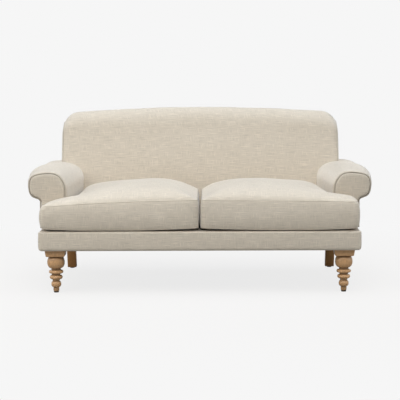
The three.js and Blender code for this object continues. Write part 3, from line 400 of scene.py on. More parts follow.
def worked_metal(name, code, roughness, grain):
    """Bare or plated metal, drawn or rolled: bright, with fine marks and small dull spots. The marks are
    drawn 2 to 5 mm wide, coarser than real ones, so that they show."""
    material, tree = new_material(name)
    place = add_node(tree, "ShaderNodeTexCoord").outputs["Object"]
    drawn = add_node(tree, "ShaderNodeMapping", {"Vector": place, "Scale": grain}).outputs["Vector"]
    marks = add_node(tree, "ShaderNodeTexNoise", {
        "Vector": drawn, "Scale": 1.0, "Detail": 3.0}).outputs["Fac"]
    dull = add_node(tree, "ShaderNodeMapRange", {
        "Value": marks, "To Min": roughness * 0.8, "To Max": roughness * 1.3}).outputs["Result"]
    layers = ((marks, scaled(linear(code), 0.85), linear(code)),)
    finish_surface(tree, layers, marks, 0.1, 0.1 * MM, Roughness=dull, Metallic=1.0)
    return material


def jute_webbing():
    """Jute and rubber webbing: a coarse brown weave with a yarn every 3 mm, and matt."""
    material, tree = new_material("jute_webbing")
    place = add_node(tree, "ShaderNodeTexCoord").outputs["Object"]
    rows, ends = (add_node(tree, "ShaderNodeTexWave", {
        "Vector": place, "Scale": WAVE_LENGTH / spacing, "Distortion": distortion},
        bands_direction=way).outputs["Fac"]
        for spacing, distortion, way in ((2.5 * MM, 0.4, "Z"), (3.0 * MM, 0.3, "X")))
    woven = add_node(tree, "ShaderNodeMath", {0: rows, 1: ends}, operation="MULTIPLY").outputs[0]
    layers = ((woven, linear("6f6044"), linear("a8966c")),)
    finish_surface(tree, layers, woven, 0.5, 0.8 * MM, Roughness=0.9)
    return material


def cut_foam():
    """Cream polyurethane foam, cut: a fine open pore all over, and matt."""
    material, tree = new_material("cut_foam")
    place = add_node(tree, "ShaderNodeTexCoord").outputs["Object"]
    # The cells are 1 mm wide in the foam and are drawn 2.4 mm wide, so that they show
    cells = add_node(tree, "ShaderNodeTexVoronoi", {"Vector": place, "Scale": 420.0}).outputs["Distance"]
    layers = ((cells, linear("c9bd92"), linear("efe6c6")),)
    finish_surface(tree, layers, cells, 0.5, 0.6 * MM, Roughness=0.95)
    return material


def black_cambric():
    """Thin black non-woven dust cloth, with a faint grid of bonding dots 2 mm apart."""
    material, tree = new_material("black_cambric")
    uv = add_node(tree, "ShaderNodeUVMap", uv_map="weave").outputs["UV"]
    dots = add_node(tree, "ShaderNodeTexVoronoi", {
        "Vector": uv, "Scale": 480.0, "Randomness": 0.15}).outputs["Distance"]
    fluff = add_node(tree, "ShaderNodeTexNoise", {"Vector": uv, "Scale": 60.0, "Detail": 4.0}).outputs["Fac"]
    layers = ((fluff, linear("1b1b1c"), linear("2b2a2a")),)
    finish_surface(tree, layers, dots, 0.3, 0.3 * MM, Roughness=0.95)
    return material


def moulded_nylon():
    """Dark grey nylon glide: smooth, slightly waxy, with scuffs about 3 mm wide."""
    material, tree = new_material("moulded_nylon")
    place = add_node(tree, "ShaderNodeTexCoord").outputs["Object"]
    scuff = add_node(tree, "ShaderNodeTexNoise", {
        "Vector": place, "Scale": 300.0, "Detail": 5.0}).outputs["Fac"]
    rough = add_node(tree, "ShaderNodeMapRange", {
        "Value": scuff, "To Min": 0.35, "To Max": 0.6}).outputs["Result"]
    layers = ((scuff, linear("32302d"), linear("46433f")),)
    finish_surface(tree, layers, scuff, 0.1, 0.1 * MM, Roughness=rough, IOR=1.53)
    return material


def zip_tape_cloth():
    """Close ribbed polyester tape, with a rib every 1 mm, in the linen's colour."""
    material, tree = new_material("zip_tape_cloth")
    place = add_node(tree, "ShaderNodeTexCoord").outputs["Object"]
    ribs = add_node(tree, "ShaderNodeTexWave", {
        "Vector": place, "Scale": WAVE_LENGTH / (1.0 * MM), "Distortion": 0.2},
        bands_direction="DIAGONAL").outputs["Fac"]
    layers = ((ribs, linear("a89c86"), linear("c6bba6")),)
    finish_surface(tree, layers, ribs, 0.4, 0.2 * MM, Roughness=0.85)
    return material


def material_named(name):
    """Materials are made once, when the first piece asks for them"""
    if name in bpy.data.materials:
        return bpy.data.materials[name]
    wood = bpy.context.scene.sofa.wood
    makers = {
        "slub_linen": lambda: woven_linen("slub_linen"),
        # The welts are the same linen painted darker, as painted shade in the facing's crease and on the
        # back's shaded ends
        "welt_linen_painted_shade": lambda: woven_linen("welt_linen_painted_shade", painted_shade_factor=0.8),
        # The turned legs carry painted shade in their grooves
        "turned_oak": lambda: oak("turned_oak", wood.front_oak, True),
        "sawn_oak": lambda: oak("sawn_oak", wood.rear_oak, False),
        "planed_beech": planed_beech,
        "spring_steel": lambda: worked_metal("spring_steel", "8f9092", 0.38, (300, 40, 300)),
        "zinc_plated_steel": lambda: worked_metal("zinc_plated_steel", "b9bab8", 0.3, (200, 200, 40)),
        "plated_zip_metal": lambda: worked_metal("plated_zip_metal", "b3ada0", 0.28, (500, 60, 500)),
        "jute_webbing": jute_webbing,
        "cut_foam": cut_foam,
        "black_cambric": black_cambric,
        "moulded_nylon": moulded_nylon,
        "zip_tape_cloth": zip_tape_cloth,
    }
    return makers[name]()


# Shaping helpers


def deselect():
    for other in list(bpy.context.selected_objects):
        other.select_set(False)


def activate(piece):
    """The piece alone is selected, and operators work on it"""
    deselect()
    piece.select_set(True)
    bpy.context.view_layer.objects.active = piece


def new_piece(name, vertices, faces):
    mesh = bpy.data.meshes.new(name)
    mesh.from_pydata([tuple(v) for v in vertices], [], faces)
    mesh.validate()
    piece = bpy.data.objects.new(name, mesh)
    bpy.context.scene.collection.objects.link(piece)
    return piece


def coordinates(piece):
    flat = np.empty(len(piece.data.vertices) * 3)
    piece.data.vertices.foreach_get("co", flat)
    return flat.reshape(-1, 3)


def set_coordinates(piece, points):
    piece.data.vertices.foreach_set("co", np.asarray(points, float).ravel())
    piece.data.update()


def normals(piece):
    flat = np.empty(len(piece.data.vertices) * 3)
    piece.data.vertex_normals.foreach_get("vector", flat)
    return flat.reshape(-1, 3)


def apply_modifier(piece, kind, **settings):
    activate(piece)
    modifier = piece.modifiers.new(kind.lower(), kind)
    for key, value in settings.items():
        setattr(modifier, key, value)
    bpy.ops.object.modifier_apply(modifier=modifier.name)


def face_out(piece):
    """All faces of a closed mesh point outwards"""
    shape = bmesh.new()
    shape.from_mesh(piece.data)
    bmesh.ops.recalc_face_normals(shape, faces=shape.faces)
    if shape.calc_volume(signed=True) < 0:
        bmesh.ops.reverse_faces(shape, faces=shape.faces)
    shape.to_mesh(piece.data)
    shape.free()


def smooth(piece, angle=math.radians(40)):
    activate(piece)
    bpy.ops.object.shade_smooth_by_angle(angle=angle)


def lofted(name, rings, caps=True):
    """A closed skin through rings of points, with the weave's map laid along and round it"""
    rings = np.asarray(rings, float)
    rows, count = rings.shape[:2]
    faces = []
    for r in range(rows - 1):
        low, high = r * count, (r + 1) * count
        faces += [(low + k, low + (k + 1) % count, high + (k + 1) % count, high + k) for k in range(count)]
    if caps:
        faces.append(tuple(range(count - 1, -1, -1)))
        faces.append(tuple((rows - 1) * count + k for k in range(count)))
    piece = new_piece(name, rings.reshape(-1, 3), faces)
    closed = np.concatenate([rings, rings[:, :1]], axis=1)
    lengths = np.linalg.norm(np.diff(closed, axis=1), axis=2)
    around = np.concatenate([np.zeros((rows, 1)), np.cumsum(lengths, axis=1)], axis=1)
    steps = np.linalg.norm(np.diff(closed, axis=0), axis=2)
    along = np.concatenate([np.zeros((1, count + 1)), np.cumsum(steps, axis=0)])
    layer = piece.data.uv_layers.new(name="weave")
    for polygon in piece.data.polygons:
        corners = [piece.data.loops[i].vertex_index for i in polygon.loop_indices]
        columns = [c % count for c in corners]
        wraps = max(columns) - min(columns) > count // 2 and len(corners) == 4
        for index, corner, column in zip(polygon.loop_indices, corners, columns):
            row = corner // count
            if len(corners) > 4:
                x, y, z = rings[row, column]
                layer.data[index].uv = (x + y, z)
            else:
                k = count if wraps and column == 0 else column
                layer.data[index].uv = (along[row, k], around[row, k])
    face_out(piece)
    return piece


def map_by_side(piece):
    """The weave's map for a boxed piece: each face takes the two axes that it lies along"""
    upright_bias = 1.15
    layer = piece.data.uv_layers.get("weave") or piece.data.uv_layers.new(name="weave")
    for polygon in piece.data.polygons:
        normal = polygon.normal
        lies = max(range(3), key=lambda axis: abs(normal[axis]) * (upright_bias if axis == 2 else 1))
        across, up = ((1, 2), (0, 2), (0, 1))[lies]
        for index in polygon.loop_indices:
            point = piece.data.vertices[piece.data.loops[index].vertex_index].co
            layer.data[index].uv = (point[across], point[up])


def rumpled(points, outward, amount, size, seed=0.0):
    """Points moved along their normals by a slow, even noise, as stuffing under cloth does"""
    shift = [noise.noise(Vector(p) / size + Vector((seed, seed, seed))) for p in points]
    return points + outward * (np.array(shift) * amount)[:, None]


def settle(piece, amount, size, seed, where):
    """Rumples a piece where the test on its points holds"""
    points = coordinates(piece)
    settled = rumpled(points, normals(piece), amount, size, seed)
    chosen = where(points)
    points[chosen] = settled[chosen]
    set_coordinates(piece, points)


def cord_piece(name, route, radius, closed=False, sides=8):
    """A sewn cord along a route of points"""
    route = [Vector(p) for p in route]
    count = len(route)
    rings = []
    side = None
    for k, point in enumerate(route):
        before = route[k - 1] if k or closed else route[0]
        after = route[(k + 1) % count] if k + 1 < count or closed else route[-1]
        along = (after - before).normalized()
        if side is None:
            side = along.orthogonal().normalized()
        side = (side - along * side.dot(along)).normalized()
        up = along.cross(side)
        rings.append([point + (side * math.cos(a) + up * math.sin(a)) * radius
                      for a in (2 * math.pi * s / sides for s in range(sides))])
    if closed:
        rings.append(rings[0])
    piece = lofted(name, rings, caps=not closed)
    if closed:
        shape = bmesh.new()
        shape.from_mesh(piece.data)
        bmesh.ops.remove_doubles(shape, verts=shape.verts, dist=TINY)
        shape.to_mesh(piece.data)
        shape.free()
        face_out(piece)
    smooth(piece, math.radians(80))
    return piece


def reshape(piece, change):
    """The mesh moved or mirrored by a matrix, with its faces still pointing outwards"""
    piece.data.transform(change)
    if change.determinant() < 0:
        piece.data.flip_normals()


def twin_of(piece, name, change=MIRROR):
    """The left-hand twin of a right-hand piece, with a mesh of its own"""
    twin = bpy.data.objects.new(name, piece.data.copy())
    bpy.context.scene.collection.objects.link(twin)
    reshape(twin, change)
    return twin


def cover(piece, material):
    piece.data.materials.clear()
    piece.data.materials.append(material_named(material))


def dress(piece, material, body, nodes=()):
    """Finish, body and standing of a piece"""
    cover(piece, material)
    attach(piece, body)
    if nodes:
        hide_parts(*nodes)
    return piece


def refinish(start, end, material):
    """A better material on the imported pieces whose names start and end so, and whose shapes stay"""
    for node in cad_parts:
        if node.startswith(start) and node.endswith(end):
            cover(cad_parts[node], material)


def arc(centre, radius, start, end, steps):
    return [(centre[0] + radius * math.cos(start + (end - start) * k / steps),
             centre[1] + radius * math.sin(start + (end - start) * k / steps)) for k in range(steps + 1)]


def bezier(a, b, c, d, steps):
    points = []
    for k in range(steps + 1):
        t = k / steps
        s = 1 - t
        points.append(tuple(s ** 3 * a[i] + 3 * s * s * t * b[i] + 3 * s * t * t * c[i] + t ** 3 * d[i]
                            for i in (0, 1)))
    return points


def limited(value, least=0.0, most=1.0):
    return min(max(value, least), most)


def round_rise(share):
    """The height of a quarter circle, from 0 at its edge to 1, over the share of its width"""
    return math.sqrt(1 - (1 - share) ** 2)


# Arms


def spline(points, count):
    """Evenly spaced points of a smooth curve through the given ones"""
    fixed = np.array(points, float)
    fixed = np.vstack([2 * fixed[0] - fixed[1], fixed, 2 * fixed[-1] - fixed[-2]])
    knots = np.concatenate([[0], np.cumsum(np.sqrt(np.linalg.norm(np.diff(fixed, axis=0), axis=1)))])

    def between(low, high, t, a, b):
        return ((high - t) * a + (t - low) * b) / (high - low)

    fine = [fixed[1]]
    for k in range(1, len(fixed) - 2):
        t0, t1, t2, t3 = knots[k - 1:k + 3]
        p0, p1, p2, p3 = fixed[k - 1:k + 3]
        for t in np.linspace(t1, t2, 25)[1:]:
            a1, a2, a3 = between(t0, t1, t, p0, p1), between(t1, t2, t, p1, p2), between(t2, t3, t, p2, p3)
            fine.append(between(t1, t2, t, between(t0, t2, t, a1, a2), between(t1, t3, t, a2, a3)))
    fine = np.array(fine)
    run = np.concatenate([[0], np.cumsum(np.linalg.norm(np.diff(fine, axis=0), axis=1))])
    even = np.linspace(0, run[-1], count)
    return np.stack([np.interp(even, run, fine[:, axis]) for axis in range(fine.shape[1])], axis=1)


def roll_line(bulge, swell, steps=64):
    """The scroll of the arm from its inner side over the top to the neck, as (x, z)"""
    fixed = [(ROLL_X + ROLL_RADIUS * x, ROLL_Z + ROLL_RADIUS * z) for x, z in SCROLL] + [(NECK_X, NECK_Z)]
    line = []
    flat_share = 0.3
    for k, (x, z) in enumerate(spline(fixed, steps + 1)):
        share = k / steps
        fade = min(1, (1 - share) / flat_share)
        grown = (bulge + swell * min(1, 2 * share)) * fade
        dx, dz = x - ROLL_X, z - ROLL_Z
        length = math.hypot(dx, dz)
        line.append((x + dx / length * grown,
                     z + dz / length * grown - bulge * PAD_TUCK * max(0, 1 - fade) ** 2))
    return line


def arm_section(bulge, swell, y_at, inward, hollow):
    """One ring of the padded roll: round the outside, and back along the hollow for the wooden arm"""
    tip = NECK_Z - PAD_BULGE * PAD_TUCK
    outside = [(FACING_INNER_X - bulge, PAD_BOTTOM + (ROLL_Z - PAD_BOTTOM) * k / 12) for k in range(12)]
    outside += roll_line(bulge, swell)
    outside[-1] = (outside[-1][0], tip)
    inner_foot = (FACING_INNER_X - PAD_BULGE + PAD_FOOT, PAD_BOTTOM)
    neck_foot = (NECK_X - NECK_THICKNESS, tip)
    steps = 30
    if hollow:
        inside = [neck_foot, (neck_foot[0], tip + NECK_RISE),
                  *arc((ROLL_X, ROLL_Z), ROLL_RADIUS - HOLLOW_INSET, CURL_END, math.pi, steps), inner_foot]
    else:
        inside = [tuple(neck_foot[i] + (inner_foot[i] - neck_foot[i]) * k / (steps + 3) for i in (0, 1))
                  for k in range(steps + 4)]
    ring = []
    for x, z in outside:
        ring.append((x - inward * limited((ROLL_X - x) / ROLL_RADIUS), y_at(z), z))
    ring += [(x, y_at(z), z) for x, z in inside]
    return ring


def arm_pad():
    """The right arm's padded roll, fullest in the middle of its length and cut to the back"""
    front = FACING_BACK_Y + FIT
    rounding = 28 * MM
    run = INSIDE_BACK_Y - front
    least = PAD_SWELL * 0.5
    rings = []
    steps = 8
    for k in range(steps):
        share = k / steps
        y = front + rounding * share ** 1.6
        bulge = PAD_BULGE * (0.15 + 0.85 * round_rise(share))
        rings.append(arm_section(bulge, 0, lambda z, y=y: y, 0, True))
    steps = 44
    for k in range(steps + 1):
        share = k / steps
        y = front + rounding + (run - rounding) * share
        swell = PAD_SWELL * math.sin(math.pi * min(1, share * 0.86) ** 0.8)
        taper = ARM_TAPER * (y - front) / run
        rings.append(arm_section(PAD_BULGE, max(swell, least * share), lambda z, y=y: y, taper, True))
    # Rings before the sofa's rear plane: distance in mm, hollow or closed, bulge in mm, share of the swell
    for depth, hollow, bulge, more in (
            (60, True, 12, 0.8), (34, True, 12, 0.5), (33, False, 12, 0.5), (16, False, 12, 0.3),
            (8, False, 11, 0.1), (3, False, 8.5, 0), (0.3, False, 5, 0)):
        rings.append(arm_section(bulge * MM, least * more, lambda z, d=depth * MM: back_plane(z) - d,
                                 ARM_TAPER, hollow))
    pad = lofted("right_arm_roll", rings)
    cutter = back_form("back_cutter", 1 * MM, fine=False)
    apply_modifier(pad, "BOOLEAN", operation="DIFFERENCE", object=cutter, solver="EXACT")
    bpy.data.objects.remove(cutter)
    settle(pad, 1.2 * MM, 70 * MM, 4.0,
           lambda points: (points[:, 2] > PAD_BOTTOM + 20 * MM) & (points[:, 1] > front + 6 * MM))
    smooth(pad, math.radians(50))
    return pad


def facing_outline(inset, steps=64):
    """The outline of the arm's front, moved inwards, as (x, z) from its inner foot over the roll to its
    outer foot"""
    line = [(FACING_INNER_X, PAD_BOTTOM + (ROLL_Z - PAD_BOTTOM) * k / 8) for k in range(8)]
    line += roll_line(0, 0, steps)
    line += [(NECK_X, NECK_Z + (PAD_BOTTOM - NECK_Z) * k / 8) for k in range(1, 9)]
    moved = []
    for k, (x, z) in enumerate(line):
        before = line[max(k - 1, 0)]
        after = line[min(k + 1, len(line) - 1)]
        dx, dz = after[0] - before[0], after[1] - before[1]
        length = math.hypot(dx, dz)
        moved.append((x + dz / length * inset, z - dx / length * inset))
    return moved


def facing_panel():
    """The right arm's facing, as a remeshed pad whose front is crowned"""
    outline = facing_outline(0)
    edge = 26 * MM
    crown = 4.5 * MM
    set_back = 1.5 * MM
    foot_depth = 4 * MM
    count = len(outline)
    vertices = [(x, y, z) for y in (FACING_Y, FACING_BACK_Y) for x, z in outline]
    faces = [tuple(range(count)), tuple(range(2 * count - 1, count - 1, -1))]
    faces += [(k, (k + 1) % count, count + (k + 1) % count, count + k)[::-1] for k in range(count)]
    piece = new_piece("right_arm_front", vertices, faces)
    face_out(piece)
    apply_modifier(piece, "REMESH", mode="VOXEL", voxel_size=3.0 * MM)
    apply_modifier(piece, "SMOOTH", factor=0.5, iterations=3)
    line = np.array(outline)
    points = coordinates(piece)
    flat = points[:, [0, 2]]
    ends = np.roll(line, -1, axis=0)
    depth = np.full(len(points), 1.0)
    for a, b in zip(line[:-1], ends[:-1]):
        span = b - a
        t = np.clip(((flat - a) @ span) / (span @ span), 0, 1)
        depth = np.minimum(depth, np.linalg.norm(flat - (a + t[:, None] * span), axis=1))
    depth = np.minimum(depth, np.maximum(points[:, 2] - PAD_BOTTOM, 0) + foot_depth)
    share = np.clip(depth / edge, 0, 1)
    ahead = points[:, 1] < (FACING_Y + FACING_BACK_Y) / 2
    rise = crown * np.sqrt(1 - (1 - share) ** 2)
    points[ahead, 1] -= rise[ahead]
    points[ahead, 1] += set_back
    set_coordinates(piece, points)
    apply_modifier(piece, "SUBSURF", levels=1, render_levels=1)
    map_by_side(piece)
    smooth(piece)
    return piece


def facing_cord():
    """The welt in the corner between the facing and the roll"""
    line = facing_outline(-(PIPING_RADIUS + PIPING_GAP))
    y = FACING_BACK_Y - PIPING_RADIUS
    route = [(x, y, max(z, PAD_BOTTOM + 1 * MM)) for x, z in line]
    return cord_piece("right_arm_welt", route, PIPING_RADIUS)


# Back


# Steps up the inside face, round the front and the crest of the roll, and down the rear
BACK_STEPS = (40, 22, 12, 16)


def back_line(grow, fine):
    """The back from the side: up the inside face, over the roll, down the rear and along the foot,
    as (y, z)"""
    face_steps, front_steps, crest_steps, rear_steps = BACK_STEPS if fine else (14, 10, 6, 4)
    foot_depth = 290 * MM
    roll = [(BACK_ROLL_Y + y * (BACK_ROLL_REACH + grow),
             BACK_TOP - BACK_ROLL_DROP + z * (BACK_ROLL_DROP + grow))
            for y, z in arc((0, 0), 1, math.radians(162), math.pi / 2, front_steps)]
    roll += arc((BACK_ROLL_Y, BACK_ROLL_Z), BACK_ROLL_RADIUS + grow, math.pi / 2, 0, crest_steps)[1:]
    foot = (REAR_Y - foot_depth - grow, PAD_BOTTOM - grow)
    top = roll[0]
    depth = top[0] - foot[0]
    rise = top[1] - foot[1]
    face = bezier(foot, (foot[0] - depth * 0.01, foot[1] + rise * 0.26),
                  (foot[0] + depth * 0.69, foot[1] + rise * 0.68), top, face_steps)
    rear = [LIP_Z + (foot[1] - LIP_Z) * k / rear_steps for k in range(rear_steps + 1)]
    return face[:-1] + roll + [(back_plane(z) - FIT + grow, z) for z in rear]


def back_point(x, y, z, grow):
    """A point of the back's side view carried to its place across the sofa, with round ends and corners"""
    rear_edge = 8 * MM
    end = BACK_HALF + grow
    reach = min(abs(x), end)

    def rounded(radius):
        into = limited(reach - (end - radius), 0, radius)
        return radius - math.sqrt(max(0.0, radius * radius - into * into))

    low = LIP_Z - 3 * BACK_CORNER_RADIUS
    high = limited((z - low) / (BACK_TOP - low))
    drop = rounded(BACK_CORNER_RADIUS) + BACK_CROWN * (reach / end) ** 2
    lowered = z - drop * high ** 2
    middle = back_plane(z) - BACK_MIDDLE
    away = min(abs(y - middle) / BACK_EDGE_RADIUS, 1)
    edge = rounded(BACK_EDGE_RADIUS) if y < middle else -rounded(rear_edge)
    swell = 0
    if y < middle:
        share = limited((z - SEAM_Z) / (BACK_ROLL_Z - SEAM_Z))
        swell = BACK_BULGE * (1 - (reach / end) ** 2) * math.sin(math.pi * share)
    slide = back_plane(lowered) - back_plane(z)
    return (x, y + edge * away - swell + slide, lowered)


def back_stations(grow, fine):
    """Places across the sofa, close together round the corners of the back"""
    end = BACK_HALF + grow
    corner_steps, spans = (18, 40) if fine else (8, 5)
    corner = [end - BACK_CORNER_RADIUS * (1 - math.sin(math.pi / 2 * k / corner_steps))
              for k in range(corner_steps + 1)]
    half = [corner[0] * k / spans for k in range(1, spans)] + corner
    return [-x for x in reversed(half)] + [0.0] + half


def back_form(name, grow, fine=True):
    line = back_line(grow, fine)
    rings = [[back_point(x, y, z, grow) for y, z in line] for x in back_stations(grow, fine)]
    return lofted(name, rings)


def inside_back():
    """The padded inside of the back, which goes over the top roll and round both ends"""
    piece = back_form("back_padding", 0)

    def soft(points):
        front = points[:, 1] < np.array([back_plane(z) for z in points[:, 2]]) - 20 * MM
        return front & (np.abs(points[:, 0]) < BACK_HALF - 12 * MM)

    settle(piece, 2.0 * MM, 110 * MM, 1.5, soft)
    smooth(piece, math.radians(50))
    return piece


def back_welt(side):
    """The seam cord where the face of the back turns round to its end"""
    x = BACK_HALF - 9 * MM
    route = []
    for y, z in back_line(0, True)[:sum(BACK_STEPS[:3])]:
        if z < ROLL_Z:
            continue
        px, py, pz = back_point(x, y, z, 0)
        route.append((side * px, py, pz))
    return cord_piece(f"{'right' if side > 0 else 'left'}_back_welt", route, 2.6 * MM)


def stretch(start, end, steps, ends, stepped=False):
    """Rows of a panel as (height, low end, high end), with the first just past a step in its width"""
    first = (start + STEP if stepped else start, *ends(start))
    heights = [start + (end - start) * k / steps for k in range(1, steps + 1)]
    return [first] + [(height, *ends(height)) for height in heights]


def slab(name, rows, across, thickness, crown, edge):
    """A flat padded panel: rows of (height, low end, high end), a function that places (a, height, depth),
    and a face that swells by crown over the distance edge"""
    columns = 60
    shares = [0.5 - 0.5 * math.cos(math.pi * k / columns) for k in range(columns + 1)]
    bottom, top = rows[0][0], rows[-1][0]
    outset = 0.1 * MM
    front, back = [], []
    for height, low, high in rows:
        for share in shares:
            a = low + (high - low) * share
            reach = min(a - low, high - a, height - bottom + outset, top - height + outset)
            swell = crown * round_rise(min(max(reach, 0) / edge, 1))
            front.append(across(a, height, -swell))
            back.append(across(a, height, thickness))
    count = columns + 1
    last = len(rows) - 1
    total = len(front)
    faces = []
    for r in range(last):
        for k in range(columns):
            a = r * count + k
            quad = (a, a + 1, a + count + 1, a + count)
            faces.append(quad)
            faces.append(tuple(total + i for i in reversed(quad)))
    for k in range(columns):
        faces.append((k, total + k, total + k + 1, k + 1))
        a = last * count + k
        faces.append((a, a + 1, total + a + 1, total + a))
    for r in range(last):
        a, b = r * count, (r + 1) * count
        faces.append((a, b, total + b, total + a))
        a, b = a + columns, b + columns
        faces.append((a, total + a, total + b, b))
    piece = new_piece(name, front + back, faces)
    face_out(piece)
    map_by_side(piece)
    smooth(piece, math.radians(50))
    return piece


def outside_back():
    """The plain rear panel, which leans with the back and steps in above the arms"""
    thickness = 4.0 * MM
    sunk = 1.0 * MM
    step = panel_high.z
    lip_y = back_plane(LIP_Z)
    rows = stretch(BAND_BOTTOM, step, 16, lambda z: (-SIDE_X, SIDE_X))
    rows += stretch(step, LIP_Z, 30, lambda z: (-BACK_HALF, BACK_HALF), stepped=True)

    def place(x, z, depth):
        if z > step:
            top = back_point(x, lip_y, LIP_Z, 0)[2] - 2 * FIT
            z = step + (top - step) * (z - step) / (LIP_Z - step)
        return (x, back_plane(z) + BACK_PANEL - sunk - depth - thickness, z)

    return slab("rear_panel", rows, place, -thickness, 1.5 * MM, 18 * MM)


def side_panel():
    """The flat outside of the right arm, tacked under the roll and along the base"""
    crown = 1.5 * MM
    rows = stretch(panel_low.z, BAND_TOP, 8, lambda z: (BAND_BACK_Y + FIT, back_plane(z) - FIT))
    rows += stretch(BAND_TOP, panel_high.z, 10, lambda z: (FACING_BACK_Y + FIT, back_plane(z) - FIT), True)

    def place(y, z, depth):
        return (SIDE_X - crown - depth, y, z)

    return slab("right_side_panel", rows, place, 4.5 * MM, crown, 14 * MM)


# Base


def band_plan(inset, corner_steps=10, across=60, back=8):
    """The route of the front band in plan, from its left return round both corners to its right return"""
    radius = 24 * MM
    centre = (HALF_SEAT - radius, FRONT_Y + radius)
    right = [(centre[0] * k / (across // 2), FRONT_Y + inset) for k in range(1, across // 2)]
    right += arc(centre, radius - inset, -math.pi / 2, 0, corner_steps)
    right += [(HALF_SEAT - inset, centre[1] + (BAND_BACK_Y - centre[1]) * k / back)
              for k in range(1, back + 1)]
    return [(-x, y) for x, y in reversed(right)] + [(0.0, FRONT_Y + inset)] + right


def front_band():
    """The padded band over the front rail: its edges are rolled, the lower one more, and its face swells
    a little"""
    lower_roll, upper_roll = 16 * MM, 3.5 * MM
    edge_depth, face_swell, lining = 7.5 * MM, 1.6 * MM, 10.5 * MM
    height = BAND_TOP - BAND_BOTTOM
    section = []
    steps = 22
    for k in range(steps + 1):
        share = k / steps
        from_edge = min(share, 1 - share) * height
        rounded = round_rise(min(from_edge / (lower_roll if share < 0.5 else upper_roll), 1))
        section.append((edge_depth * (1 - rounded) - face_swell * math.sin(math.pi * share),
                        BAND_BOTTOM + height * share))
    section += [(lining, BAND_TOP - 1 * MM), (lining, BAND_BOTTOM + 1 * MM)]
    lines = [[(x, y, z) for x, y in band_plan(depth)] for depth, z in section]
    piece = lofted("front_band", list(zip(*lines)))
    settle(piece, 1.0 * MM, 60 * MM, 9.0, lambda points: points[:, 1] < FRONT_Y + 6 * MM)
    smooth(piece, math.radians(50))
    return piece


def seat_platform():
    """The flat padded platform under the cushions, narrower behind the arm fronts"""
    crown = 0.6 * MM
    low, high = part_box("seat_deck")
    inner = FACING_INNER_X - PAD_BULGE + PAD_FOOT + FIT
    step = FACING_Y - FIT
    rows = stretch(low.y, step, 8, lambda y: (low.x, high.x))
    rows += stretch(step, high.y, 40, lambda y: (-inner, inner), stepped=True)

    def place(x, y, depth):
        return (x, y, high.z - crown - depth)

    return slab("seat_platform", rows, place, high.z - low.z - crown, crown, 10 * MM)


def dust_cloth():
    """Thin black cloth under the base, notched round the legs, and its flat area"""
    clear = 4 * MM
    above = 1.3 * MM
    low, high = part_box("dust_cover")
    front_y = LEG_Y + BLOCK_HALF + clear
    rear_y = REAR_LEG_Y - REAR_LEG_HALF - clear
    front_x = LEG_X - BLOCK_HALF - clear
    rear_x = LEG_X - REAR_LEG_HALF - clear
    rows = stretch(low.y, front_y, 6, lambda y: (-front_x, front_x))
    rows += stretch(front_y, rear_y, 30, lambda y: (low.x, high.x), stepped=True)
    rows += stretch(rear_y, high.y, 4, lambda y: (-rear_x, rear_x), stepped=True)

    def place(x, y, depth):
        return (x, y, high.z - above + depth)

    area = ((front_y - low.y) * 2 * front_x + (rear_y - front_y) * (high.x - low.x)
            + (high.y - rear_y) * 2 * rear_x)
    return slab("dust_cloth", rows, place, 1.2 * MM, 0.0, 10 * MM), area


# Cushions


